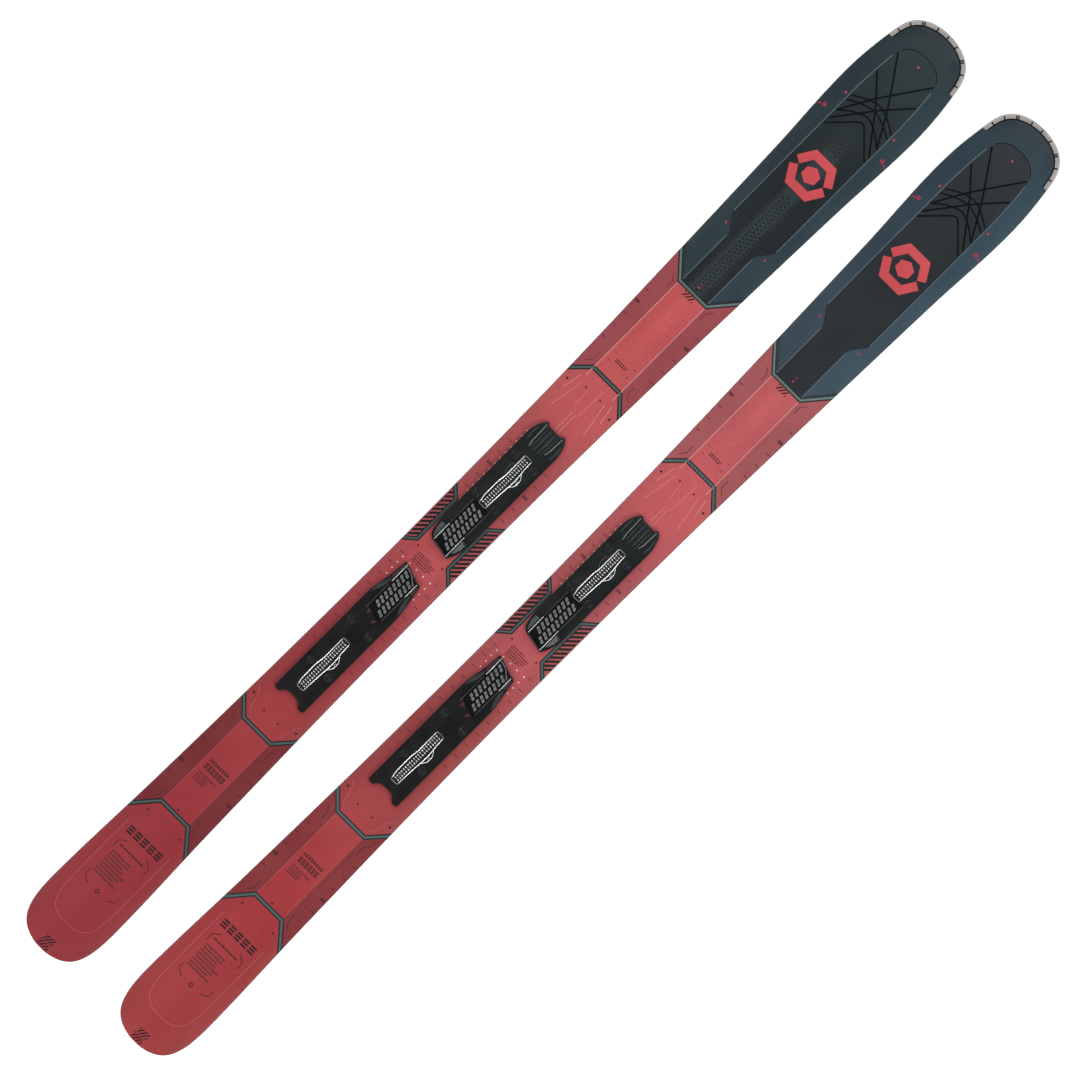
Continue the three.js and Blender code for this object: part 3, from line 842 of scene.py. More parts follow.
def core_floor(x, y):
    return sole_height(y) + SOLE + LAMINATE + 2 * GAP


def under_sheet(x, y):
    return top_height(x, y) - TOPSHEET


def side_strip(side, start, end, section):
    """A strip along one side, whose section at y is a row of (distance from the centre line, height)."""
    rings = []
    for y in stations_between(start, end):
        ring = [(side * x, y, z) for x, z in section(y)]
        rings.append(ring if side < 0 else ring[::-1])
    return loft(rings)


def edge_section(y):
    low, out = sole_height(y), outline(y)
    high, inn = low + SOLE, out - EDGE_WIDTH
    return [(inn, low), (out, low), (out, high - EDGE_CHAMFER), (out - EDGE_CHAMFER, high), (inn, high)]


def sidewall_section(y):
    foot = outline(y) - FOOT_INSET
    head, inn = outline(y) - HEAD_INSET, foot - SIDEWALL_WIDTH
    low, high = core_floor(foot, y), under_sheet(head, y) - GAP
    return [(inn, low), (foot, low), (foot, low + FOOT_HEIGHT), (head, high - HEAD_CHAMFER),
            (head - HEAD_CHAMFER, high), (inn, high)]


def make_sandwich():
    tail, front = -HALF_LENGTH, LAYER_FRONT
    body = crowned_layer(tail, SHEET_JOINT, 0, under_sheet, SHEET_INSET, SHEET_ROUND)
    pieces("topsheet_body", body, "red", ["topsheet"])
    tip = crowned_layer(SHEET_JOINT, front, 0, under_sheet, SHEET_INSET, SHEET_ROUND)
    pieces("topsheet_tip", tip, "teal")
    spans = {
        "rear": (tail, BASE_JOINTS[0] - BUTT_GAP),
        "middle": (BASE_JOINTS[0], BASE_JOINTS[1] - BUTT_GAP),
        "front": (BASE_JOINTS[1], front),
    }
    for place, (start, end) in spans.items():
        pieces(f"running_base_{place}", base_length(start, end), "base", [f"running_base_{place}"])
    depth = TOPSHEET + GAP + FILM_GAP
    ends = {"tail": (tail, CORE_REAR - BUTT_GAP), "tip": (CORE_FRONT + BUTT_GAP, front)}
    for end, (rear, fore) in ends.items():
        spacer = crowned_layer(rear, fore, depth, core_floor, SPACER_INSET, SPACER_ROUND)
        pieces(f"{end}_spacer", spacer, "spacer", [f"{end}_spacer"])
    for name, side in (("left", -1), ("right", 1)):
        edge = side_strip(side, EDGE_REAR, EDGE_FRONT, edge_section)
        pieces(f"steel_edge_{name}", edge, "edge", [f"steel_edge_{name}"])
        wall = side_strip(side, CORE_REAR, CORE_FRONT, sidewall_section)
        pieces(f"sidewall_{name}", wall, "sidewall", [f"sidewall_{name}"])


RIM_STEPS = 28
RIM_MARKS = (0, 19, 40, 43.2, 61, 80)  # distances round the rim from its middle


def rim_row(inset):
    """Points round the tip at an inset from the outline, from the right over the front to the left."""
    along = [*end_spread(TIP, TIP_STEP - 0.8, inset, RIM_STEPS), HALF_LENGTH - inset]
    right = [(outline(y, inset), y) for y in along]
    return right + mirrored(right)


def rim_strip(profile):
    """A strip round the tip. Its profile is a closed row of (inset, height over the ski's top)."""
    rows = [rim_row(inset) for inset, _ in profile]
    rings = []
    for i in range(len(rows[0])):
        rings.append([(*row[i], top_height(*row[i]) + lift) for row, (_, lift) in zip(rows, profile)])
    return loft(rings)


def rim_point(row, share):
    """The point of a row at a share of its length."""
    lengths = [(Vector(b) - Vector(a)).length for a, b in zip(row, row[1:])]
    left = share * sum(lengths)
    for a, b, length in zip(row, row[1:], lengths):
        if left <= length:
            return tuple(Vector(a).lerp(Vector(b), left / length))
        left -= length
    return row[-1]


def make_guard():
    thick = thickness(HALF_LENGTH)
    body = [(0, -thick), (0, -0.9), (0.35, -0.3), (1.1, 0), (2.6, 0), (3.0, GUARD_PROUD),
            (6.5, GUARD_PROUD), (GUARD_WIDTH, 0), (GUARD_WIDTH, -thick)]
    pieces("tip_guard", rim_strip(body), "guard", ["tip_guard"])
    inlay = [(3.1, 0.1), (3.1, 0.4), (3.4, 0.5), (6.2, 0.5), (6.5, 0.4), (6.5, 0.1)]
    pieces("tip_guard_inlay", rim_strip(inlay), "guard_inlay")
    border = [(6.8, -0.6), (6.8, 0.5), (8.6, 0.3), (8.6, -0.6)]
    grooves = rim_strip(border)
    inner, outer = rim_row(7.4), rim_row(2.2)
    length = sum((Vector(b) - Vector(a)).length for a, b in zip(outer, outer[1:]))
    marks = []
    for distance in RIM_MARKS:
        for side in ((-1, 1) if distance else (1,)):
            share = 0.5 + side * distance / length
            marks.append(line([rim_point(inner, share), rim_point(outer, share)], 2.0))
    grooves.join(film(marks, 0.2, 0.7))
    pieces("tip_guard_grooves", grooves, "guard_line")


make_sandwich()
make_guard()


# ---- What is printed on the topsheet ---------------------------------------------------------------

LEVELS = {  # how high each kind of print lies over the topsheet, from its lowest to its highest level
    "zone": (-0.04, 0.1),
    "panel": (0, 0.14),
    "stripe": (0.02, 0.12),
    "border": (0.03, 0.17),
    "line": (0.06, 0.2),
    "panel_line": (0.08, 0.24),
    "dot": (0.1, 0.2),
    "shadow": (0.1, 0.22),
    "core": (0.12, 0.24),
    "mark": (0.16, 0.28),
    "motif": (0.2, 0.34),
}
BORDER_WIDTH, CORE_WIDTH = 7, 2.9  # the lines across the ski
SIDE_BORDER_WIDTH, SIDE_CORE_WIDTH = 6.4, 2.2  # the trapezoids beside the toe plate
KINK = 26.6
RIM_INSET = 0.05


def chevron(x, left, right, kink):
    """A line across the ski that bends outside the creases, towards (-x, left) and (x, right)."""
    return [(-x, left), (-KINK, kink), (KINK, kink), (x, right)]


FRAME_LINES = {
    "tip": chevron(55.5, 427.5, 429.8, 395.6),
    "toe": chevron(50, 199.6, 197.8, 222.8),
    "heel": chevron(49, -452.5, -450, -475),
    "tail": chevron(53.4, -671.3, -671.3, -640.2),
}
TRAPEZOIDS = {  # beside the toe plate, on the left (-1) and on the right (1) of each ski
    -1: [(-47, -136.4), (-31.9, -124), (-32.2, -45.8), (-47, -32.2)],
    1: [(47, -140.4), (29.7, -124), (29.9, -45.9), (47, -31)],
}
PANEL = [(24.3, 398), (24.3, 490), (26.6, 495), (41.8, 515.5), (42.2, 640), (42, 767), (40.2, 808),
         (37.2, 835), (34.6, 844), (28.6, 852.5), (16.5, 859), (0, 861)]


def add_print(name, shapes, level, material):
    pieces(name, film(shapes, *LEVELS[level]), material)


def run_on(points):
    """The same line with both ends run on past the edges of the ski."""
    return [beyond(points[1], points[0]), *points[1:-1], beyond(points[-2], points[-1])]


def beyond(kink, end):
    """A point further out on the line from a kink to an end."""
    return tuple(Vector(end) + 0.3 * (Vector(end) - Vector(kink)))


def inside(part, start, end, side):
    """What is left of a convex part on the outer side of the line from start to end."""
    (sx, sy), (ex, ey) = start, end

    def depth(point):
        return side * ((ex - sx) * (point[1] - sy) - (ey - sy) * (point[0] - sx))

    kept = []
    for here, there in zip(part, part[1:] + part[:1]):
        a, b = depth(here), depth(there)
        if a <= 0:
            kept.append(here)
        if a * b < 0:
            share = a / (a - b)
            kept.append((here[0] + (there[0] - here[0]) * share, here[1] + (there[1] - here[1]) * share))
    return kept


def sheet_half(y):
    """Half the width of what can be printed at y."""
    return layer_half(y, SHEET_INSET) - RIM_INSET


def trimmed(parts):
    """The same convex parts, cut along the edges of the topsheet."""
    kept = []
    for part in parts:
        reach = (max(y for _, y in part) + 1, min(y for _, y in part) - 1)
        for side in (-1, 1):
            part = inside(part, *[(side * sheet_half(y), y) for y in reach], side)
        if len(part) > 2:
            kept.append(part)
    return kept


def sheet_edge(start, end):
    """Points along the right edge of the topsheet."""
    return [(sheet_half(y), y) for y in stations_between(start, end)]


def side_panels(rear, front):
    """The areas outside the creases, between two of the lines across the ski."""
    edge = sheet_edge(rear[0][1], front[0][1])
    return both_sides(polygon([(CREASE + 0.3, rear[1][1]), *edge, (CREASE + 0.3, front[1][1])]))


def make_zones():
    wedge = FRAME_LINES["tip"]
    edge = sheet_edge(wedge[0][1], SHEET_JOINT + 2)
    add_print("tip_zone", [polygon(wedge[1:-1] + edge + mirrored(edge))], "zone", "teal")
    front = side_panels(FRAME_LINES["toe"], FRAME_LINES["tip"])
    add_print("front_side_panels", front, "zone", "side_front")
    rear = side_panels(FRAME_LINES["tail"], FRAME_LINES["heel"])
    add_print("rear_side_panels", rear, "zone", "side_rear")
    add_print("tip_panel", [polygon(whole(PANEL))], "panel", "panel")


def make_frame_lines():
    """The lines across the ski and the trapezoids: dark borders, each with a paler core."""
    wedge = FRAME_LINES["tip"]
    borders = [trimmed(line(run_on(points), BORDER_WIDTH)) for points in FRAME_LINES.values()]
    cores = [trimmed(line(run_on(points), CORE_WIDTH)) for points in FRAME_LINES.values()
             if points is not wedge]
    for points in TRAPEZOIDS.values():
        borders.append(trimmed(line(run_on(points), SIDE_BORDER_WIDTH)))
        cores.append(trimmed(line(run_on(points), SIDE_CORE_WIDTH)))
    kink, outer = [(x, y + BORDER_WIDTH) for x, y in wedge[2:]]
    borders += both_sides(trimmed(line([kink, beyond(kink, outer)], 1.2)))
    add_print("frame_borders", borders, "border", "border")
    add_print("frame_lines", cores, "core", "frame_line")
    add_print("front_frame_line", [trimmed(line(run_on(wedge), CORE_WIDTH))], "core", "front_line")


def make_thin_lines():
    pale = []
    # the first pale line, along the crease, is a painted highlight on the crease's edge
    for points, width in (
        ([(26.2, 207.5), (26.3, 300), (26.4, 391.5)], 1.3),
        ([(37, 172.4), (31.6, 202.4)], 1),
        ([(32, 143.4), (22.4, 196.4)], 0.8),
    ):
        pale += both_sides(line(points, width))
    for points, width in (
        ([(7, 156), (8.6, 207)], 0.7),
        ([(-6.6, 165), (-9, 193)], 0.6),
        ([(-2.4, 121.5), (-2.4, 156.6)], 0.8),
        ([(3.6, 121.5), (3.6, 156.6)], 0.8),
    ):
        pale.append(line(points, width))
    add_print("pale_lines", pale, "line", "pale")

    bend = [(25.6, -464), (29.8, -460), (35.4, -437), (40, -430.5), (42.7, -426.4)]
    tail_arc = [(40.4, -690), (40.6, -780), (39.6, -819), (37, -835), (32.6, -845), (26, -851.5),
                (16, -855.5), (0, -857.3)]
    faint = both_sides(line([(25.6, -636), (25.6, -479)], 0.7)) + both_sides(line(bend, 0.9))
    add_print("faint_lines", faint + [line(whole(tail_arc), 0.9)], "line", "faint")

    side = [(42.3, 519.5), (42.7, 640), (42.5, 767), (40.6, 808), (38, 832)]
    beside_panel = both_sides(line(side, 1.1)) + both_sides(line([(25, 400), (25, 488)], 1))
    add_print("tip_panel_lines", beside_panel, "panel_line", "tip_line")

    front = [[(41.9, 222), (35, 229.4), (35, 242.4)], [(33, 376), (33, 388), (40, 396)]]
    rear = [[(41.7, -478), (35.6, -486), (35.6, -499)], [(34, -621), (34, -635), (41, -644)]]
    for name, corners, width, ink in (("front", front, 1.3, "shade"), ("rear", rear, 1.4, "mark")):
        outlines = [shape for corner in corners for shape in both_sides(line(corner, width))]
        add_print(f"{name}_corner_outlines", outlines, "line", ink)


MOTIF_Y = 630.5


def panel_half(y):
    """Half the width of the dark panel at y."""
    for (x0, y0), (x1, y1) in zip(PANEL, PANEL[1:]):
        if y0 <= y <= y1:
            return x0 + (x1 - x0) * (y - y0) / (y1 - y0)
    return 0


def make_dots():
    """Hexagon dots in offset rows along the dark panel: strong ones in its middle, faint ones outside."""
    pitch, row, margin = 6.7, 5.8, 3
    first, last = 403, 712
    strong, weak = [], []
    for j in range(-6, 7):
        x = j * row
        for i in range(48):
            y = first + (i + 0.5 * (j % 2)) * pitch
            on_motif = abs(y - MOTIF_Y + 1) < 44
            if abs(x) > panel_half(y) - margin or on_motif or y > last - abs(x):
                continue
            if -1 <= j <= 2:
                strong.append([circle(x, y, 2, 6)])
            else:
                weak.append([circle(x, y, 1.5, 6)])
    add_print("hexagon_dots", strong, "dot", "hex")
    add_print("faint_hexagon_dots", weak, "dot", "faint_hex")


def bow(x, y, middle):
    """A smooth curve through (x, y) and its mirror image, over the centre line at `middle`."""
    shares = [k / 6 - 1 for k in range(13)]
    return [(x * share, middle - (middle - y) * abs(share) ** 1.6) for share in shares]


def make_straps():
    """Dark embossed straps: two arrowheads, four bent diagonals and two bows, each over the last."""
    straps = []
    for half in (
        [(40, 696.5), (12, 725), (4, 732.5), (0, 733.8)],
        [(40, 722), (23.5, 735.5), (6.5, 743.5), (0, 745)],
    ):
        straps.append(line(whole(half), 2.1))
    for bent in (
        [(-40, 706.5), (-1.5, 756.8), (11, 771.6), (38.5, 801.4)],
        [(-40, 722), (-15, 766.3), (0, 789.2), (35.4, 839.5)],
    ):
        straps += both_sides(line(bent, 2.3))
    straps.append(line(bow(40, 750.6, 768.1), 1.9))
    straps.append(line(bow(40, 742.2, 757.8), 1.9))
    low, high = LEVELS["panel_line"]
    shell = Shell()
    for i, strap in enumerate(straps):
        shell.join(film([strap], low, 0.5 + 0.03 * i))
    front_arc = [(34.6, 844.5), (31.6, 849), (27, 854), (16.5, 860), (0, 862)]
    shell.join(film([line(whole(front_arc), 0.9)], low, high))
    pieces("tip_straps", shell, "strap")


def make_motif():
    """A plain hexagon ring with a hexagon in it, split by two slanted gaps, over its own shadow."""
    outer, inner, core = 38.5, 25.5, 14.5
    squash, gap = 0.93, 0.16
    middle = (outer + inner) / 2

    def corner(radius, i):
        turn = math.pi / 3 * i
        return radius * math.cos(turn), MOTIF_Y + radius * squash * math.sin(turn)

    def on_ring(at):
        """A point at `at` sides round the ring."""
        low = math.floor(at)
        return tuple(Vector(corner(middle, low)).lerp(Vector(corner(middle, low + 1)), at - low))

    shapes = []
    for start in (0, 3):
        ring = [on_ring(start + along) for along in (gap, 1, 2, 3 - gap)]
        shapes.append(line(ring, outer - inner))
    shapes.append(polygon([corner(core, i + 0.5) for i in range(6)]))
    shadow = []
    for shape in shapes:
        shadow.append([[(x * 1.02 + 0.5, MOTIF_Y + (y - MOTIF_Y) * 1.03) for x, y in part] for part in shape])
    add_print("tip_motif_shadow", shadow, "shadow", "motif_shadow")
    add_print("tip_motif", shapes, "motif", "motif")


def make_tip_marks():
    marks = [[circle(0, 844.5, 1.8)], [circle(0, 407.5, 1.5)], [circle(0.4, 413.6, 1)]]
    for side in (-1, 1):
        marks.append([circle(side * 48, 748.6, 1.9)])
        marks.append([[(side * 36.6, 498.6), (side * 39.8, 498.2), (side * 39.4, 503)]])
        marks.append(line([(side * 66, 711), (side * 61.5, 714)], 1.4))
        for k in range(3):
            x = side * 57.2 + 1.9 * k - 2
            marks.append([rectangle(x - 0.6, x + 0.6, 712.5, 718.5)])
    add_print("tip_marks", marks, "motif", "tip_mark")


def strokes(x0, x1, y, rng, height):
    """A row of short strokes, such as a line of small print gives."""
    shapes = []
    x = x0
    while x < x1:
        width = rng.uniform(0.8, 3.2)
        end = min(x + width, x1)
        shapes.append([rectangle(x, end, y, y + height)])
        x = end + 0.28 * width + 0.5
    return shapes


def block(x0, x1, y0, y1, rows, rng, ragged):
    """Some lines of small print, as rows of strokes of uneven length."""
    shapes = []
    pitch = (y1 - y0) / rows
    for k in range(rows):
        end = x1 - (x1 - x0) * rng.uniform(0, ragged)
        shapes += strokes(x0, end, y0 + k * pitch, rng, pitch * 0.5)
    return shapes


def bars(x0, x1, y0, y1, count, rows):
    """Groups of short parallel bars, where the real print has large letters."""
    shapes = []
    pitch = (x1 - x0) / count
    step = (y1 - y0) / rows
    for i in range(count):
        x = x0 + pitch * i
        for k in range(rows):
            y = y0 + step * k
            shapes.append([rectangle(x + 0.1 * pitch, x + 0.86 * pitch, y + 0.15 * step, y + 0.72 * step)])
    return shapes


def slashes(x0, x1, y0, y1, pitch):
    """Parallel strokes inside a rectangle, leaning to the right on their way forwards."""
    lean, width = 0.8, 2.4
    shapes = []
    run = lean * (y1 - y0)
    for k in range(int((x1 - x0 + run) / pitch) + 1):
        x = x0 - run + k * pitch
        part = [(x, y0), (x + width, y0), (x + width + run, y1), (x + run, y1)]
        part = cut_part(cut_part(part, 0, x0)[1], 0, x1)[0]
        if len(part) > 2:
            shapes.append([part])
    return shapes


def beside(side, near, far, y0, y1):
    """A rectangle on one side of the ski, between two distances from its centre line."""
    return rectangle(*sorted((side * near, side * far)), y0, y1)


def tick(side, near, far, y):
    return [beside(side, near, far, y - 0.45, y + 0.45)]


TRACK_TICKS = [-21.5, 0.8, 44.7, 66.6, *[-324 + 21.6 * k for k in range(8)]]


def print_blocks(rng):
    """What stands for the wording along the middle of the ski: black marks, then dark red ones."""
    black = block(-10.6, 10.6, 250, 256.5, 2, rng, 0.1)
    red = block(-17, 17, -151, -132.5, 5, rng, 0.35)
    red += block(-18.6, 18.6, -586, -570, 4, rng, 0.5)
    red += block(-26, 24, -777, -734, 8, rng, 0.4)
    black += block(-24, 22, -726, -721.5, 1, rng, 0)
    black += slashes(-10.6, 7.6, 383.6, 391.6, 5.6)
    black += slashes(-10, 8.6, -905.2, -896, 5.4)
    black += slashes(-7.8, 9.7, -895, -885.8, 5.4)
    black += bars(-18.6, 18.6, -565.4, -555.4, 6, 3)
    black += bars(-18.6, 18.6, -552.6, -547.6, 8, 2)
    black += bars(-33, 33, -706.4, -692.6, 5, 3)
    for y in (246, 260):
        for x in (-18, 18):
            red.append([rectangle(x - 1.6, x + 1.6, y - 0.4, y + 0.4)])
    return black, red


def edge_marks(side):
    """The black ticks along one edge of the ski, and the small black dots and triangles inside them."""
    shapes = []
    for y in (264.6, 286.6, 309, 353.4, -602, -558, -536, -515):
        edge = layer_half(y, SHEET_INSET)
        shapes.append(tick(side, edge - 9, edge - 2, y))
    for y in (333.2, -579):
        for k in range(3):
            x = side * (layer_half(y, SHEET_INSET) - 3 - 2.6 * k)
            shapes.append([rectangle(x - 0.8, x + 0.8, y - 2.5, y + 2.2)])
    for y in (186, -439.6):
        shapes.append([circle(side * 41.8, y, 1.7)])
    for x, y in ((14, 195.4), (14, -448), (30.7, -662.4), (24, -129.8)):
        shapes.append([[(side * (x - 1.8), y - 1.6), (side * (x + 1.8), y), (side * (x - 0.6), y + 2.2)]])
    return shapes


def track_marks(side):
    """The dark red ticks beside the tracks and the brackets round the tail's small print, on one side."""
    shapes = [tick(side, 32.5, 39.5, y) for y in TRACK_TICKS]
    shapes.append([beside(side, 31, 37, -152.5, -151.6)])
    for k in range(3):
        x = side * (32.5 + 2.9 * k)
        shapes.append([rectangle(x - 0.8, x + 1, 21.6, 26)])
    for bracket in ([(29.6, -734), (29.6, -722), (18.5, -714)],
                    [(29.6, -778.6), (29.6, -788.7), (18.5, -795.7)]):
        shapes.append(line([(side * x, y) for x, y in bracket], 1.2))
    return shapes


def make_marks():
    black, red = print_blocks(random.Random(5))
    for side in (-1, 1):
        black += edge_marks(side)
        red += track_marks(side)
    ring = circle(0, -794.8, 2.7, 16)
    black += [[circle(0, -633, 1.6)], line(ring + ring[:1], 1.1)]
    add_print("black_marks", black, "mark", "black_mark")
    add_print("small_marks", red, "mark", "mark")


def make_pale_dots():
    """Rows of pale dots round the front of the heel plate and along the left of the toe plate."""
    pitch, rim_pitch, shift = 10.8, 13.5, -1.1
    dots = [[circle(rim_pitch * k + shift, -156, 1.3)] for k in range(-2, 3)]
    for side in (-1, 1):
        for k in range(3):
            dots.append([circle(side * 2 * rim_pitch + shift, -166.8 - pitch * k, 1.2)])
    for k in range(12):
        dots.append([circle(-29.4, -25.2 + pitch * k, 1)])
    add_print("pale_dots", dots, "mark", "dots")


def make_stripes():
    """Black stripes inside the trapezoids beside the toe plate, all leaning the same way."""
    pitch, width, lean, first = 8.1, 4.9, 0.95, -138
    stripes = []
    for side in (-1, 1):
        x0, x1 = sorted((side * 31.5, side * 46.3))
        rise = lean * (x1 - x0)
        for k in range(13):
            y = first + k * pitch
            part = [(x0, y), (x1, y + rise), (x1, y + width + rise), (x0, y + width)]
            for start, end in zip(TRAPEZOIDS[side], TRAPEZOIDS[side][1:]):
                part = inside(part, start, end, side)
            if len(part) > 2:
                stripes.append([part])
    add_print("black_stripes", stripes, "stripe", "stripe")


make_zones()
make_frame_lines()
make_thin_lines()
make_dots()
make_straps()
make_motif()
make_tip_marks()
make_marks()
make_pale_dots()
make_stripes()


# ---- The binding tracks ----------------------------------------------------------------------------

RACK = {"length": 93.5, "slots": 20, "pitch": 4.1, "pocket": 2.2}
PAD = {"pocket": 1.6, "half": 13.2, "proud": 2.4}
CHECK = {"along": 4.6, "across": 10.4, "pitch": 8.1, "lean": 4.6, "height": 1.2, "side": 6.2}
FRAME = {"x": 14.6, "width": 1.3, "height": 3.4}
SCREW = {"radius": 3.9, "recess": 2.3, "counterbore": 4.4, "shank": 2.2, "depth": 14}
POCKET_GAP = 0.4  # the room round a rack or pad in its plate
FLOOR_LIFT = 0.15  # the height of a rack or pad over the floor of its pocket
SUNK = 0.3  # how far what stands on a plate reaches into it

TOE_PLATE = {
    "half": [(17, -115.5, 2), (24.2, -103, 6), (28.6, -82, 10), (28.3, 60, 0), (28.8, 98, 10),
             (23.6, 114.5, 4), (17.3, 122.8, 1), (13.6, 122.8, 1), (12, 119.5, 0.6)],
    "slant": (0, -109),
    "screws": (17.7, (-18.7, 58.1)),
    "rack_from": -26.5,
    "pad": [(-104, -111), (-28, -28)],
    "checks": [(-37, 8), (-37, 9)],
    "frame": {"end": (-106.5, -113.5), "legs": (-76, -76)},
}
HEEL_PLATE = {
    "half": [(10.4, -404.2, 3), (17, -410.6, 1.6), (19.2, -413.6, 1.8), (28.4, -413.6, 5.5), (28.4, -300, 0),
             (28.6, -218, 14), (23, -189, 5), (19.6, -169.5, 2.5)],
    "slant": (7, -157.5),
    "screws": (17.7, (-351.4, -270.9)),
    "rack_from": -389.6,
    "pad": [(-237, -245), (-161.5, -173)],
    "checks": [(-170.5, 8), (-179, 8)],
    "frame": {"end": (-159, -170.5), "legs": (-191, -195)},
}


def raised(loop, height, edge, sunk=SUNK):
    """A flat shape that stands on a plate."""
    return slab(anticlockwise(loop), PLATE_TOP - sunk, PLATE_TOP + height, edge)


def together(shells):
    joined = Shell()
    for shell in shells:
        joined.join(shell)
    return joined


def on_side(side, points):
    """Points given for the right side, on the right (1) or on the left (-1)."""
    return [(side * x, y) for x, y in points]


def plate_outline(plate):
    """Both halves of a plate's outline, mirrored but for the slanted end."""
    corner, y = plate["slant"]
    half = plate["half"]
    left = [(-x, y if i == corner else at, r) for i, (x, at, r) in enumerate(half)]
    return anticlockwise(rounded(half + left[::-1], 6))


def rack_left(start, end, grow):
    """The corners of the rack's left side, from the front to the rear."""
    return [(-6.8 - grow, end, 1.5), (-6.8 - grow, start + 53, 4), (-8.7 - grow, start + 42, 4),
            (-8.7 - grow, start + 12, 4), (-6.6 - grow, start - grow, 1.5)]


def rack_outline(start, grow=0):
    """The whole rack: a long plate with an ear on its right."""
    end = start + RACK["length"] + grow
    return anticlockwise(rounded([
        (6.6 + grow, start - grow, 1.5), (7.6 + grow, start + 29, 8), (9.4 + grow, start + 46, 3),
        (15 + grow, start + 52, 2), (15 + grow, start + 63, 2), (9.4 + grow, start + 71, 3),
        (7.4 + grow, start + 80, 3), (7.4 + grow, end, 1.5), *rack_left(start, end, grow),
    ]))


def pad_outline(plate, grow=0):
    (rear_left, rear_right), (front_left, front_right) = plate["pad"]
    half = PAD["half"] + grow
    return anticlockwise(rounded([
        (-half, rear_left - grow, 1), (half, rear_right - grow, 1),
        (half, front_right + grow, 1), (-half, front_left + grow, 1),
    ], 2))


def screw_places(plate):
    x, rows = plate["screws"]
    return [(side * x, y, f"{place}_{name}") for place, y in zip(("rear", "front"), rows)
            for name, side in (("left", -1), ("right", 1))]


def upper_plate(plate):
    """The plate in two steps: a solid foot, and a top with its pockets and screw seats."""
    floor = PLATE_TOP - RACK["pocket"]
    loop = plate_outline(plate)
    holes = [circle(x, y, SCREW["counterbore"], 24) for x, y, _ in screw_places(plate)]
    holes += [rack_outline(plate["rack_from"], POCKET_GAP), pad_outline(plate, POCKET_GAP)]
    shell = slab(loop, PLATE_BOTTOM, floor)
    return shell.join(slab(loop, floor - 0.02, PLATE_TOP, 0.5, holes))


def stroke_loop(points, width):
    """The outline of a stroke along a row of points."""
    parts = line(points, width)
    left = [part[0] for part in parts] + [parts[-1][3]]
    right = [part[1] for part in parts] + [parts[-1][2]]
    clean = []
    for point in left + right[::-1]:
        if not clean or (Vector(point) - Vector(clean[-1])).length > 1e-4:
            clean.append(point)
    return anticlockwise(clean)


def ridge(points, width, height):
    """A rounded rib along a row of points on a plate."""
    return raised(stroke_loop(points, width), height, min(width * 0.42, height * 0.9))


def collar(x, y):
    """The raised ring round a screw seat."""
    return slab(circle(x, y, 5.7, 24), PLATE_TOP - SUNK, PLATE_TOP + 0.45, 0.35,
                [circle(x, y, SCREW["counterbore"], 24)])


def toe_ridges():
    """The strong ridges of the toe part's nose, pale with painted highlights along their tops."""
    shells = []
    for side, start in ((-1, 80), (1, 86)):
        rib = on_side(side, [(12.4, start), (14.4, start + 9), (14.6, 104), (15.4, 119.4)])
        shells.append(ridge(rib, 1.7, 1.3))
    return together(shells)


def toe_lips():
    # thin ribs and lips on the toe part, paler than the plate: painted highlights along them
    shells = [ridge([(-9, 29), (-12.2, 34), (-12.4, 44), (-9.6, 49)], 0.9, 0.5)]
    for rib, width, height in (
        ([(3.6, 80), (3.8, 100), (4, 117)], 1.3, 0.9),
        ([(21.5, 86), (23.4, 97), (21.6, 110)], 1.1, 0.5),
        ([(14.6, -27), (14.6, -74)], 1.5, 1),
        ([(8.6, 82), (9.4, 98), (9.8, 114)], 0.8, 0.5),
    ):
        shells += [ridge(on_side(side, rib), width, height) for side in (-1, 1)]
    return together(shells)


def heel_lips():
    # the heel part's lips beside its pad, paler than the plate: painted highlights along them
    return together([ridge([(x, -243), (x, -196)], 1.4, 0.9) for x in (-FRAME["x"], FRAME["x"])])


def make_plate(name, plate, lips):
    pieces(f"{name}_track", upper_plate(plate), "plate", [f"{name}_track"])
    pieces(f"{name}_track_lips", lips, "plate_lip")
    collars = together([collar(x, y) for x, y, _ in screw_places(plate)])
    pieces(f"{name}_screw_seats", collars, "seat")


TOE_WING = [(17, -105), (20, -103), (23.6, -94), (24.8, -82), (17, -81)]
HEEL_WING = [(17.5, -190), (19.5, -189), (25.4, -207), (26.4, -222), (20.5, -212), (17.5, -200)]


def across_loop(loop, y):
    """Where a line across the ski at y enters and leaves a loop, if it has more than 2 mm inside."""
    hits = []
    for (x0, y0), (x1, y1) in zip(loop, loop[1:] + loop[:1]):
        if (y0 - y) * (y1 - y) < 0:
            hits.append(x0 + (x1 - x0) * (y - y0) / (y1 - y0))
    hits.sort()
    return hits if len(hits) == 2 and hits[1] - hits[0] > 2 else None


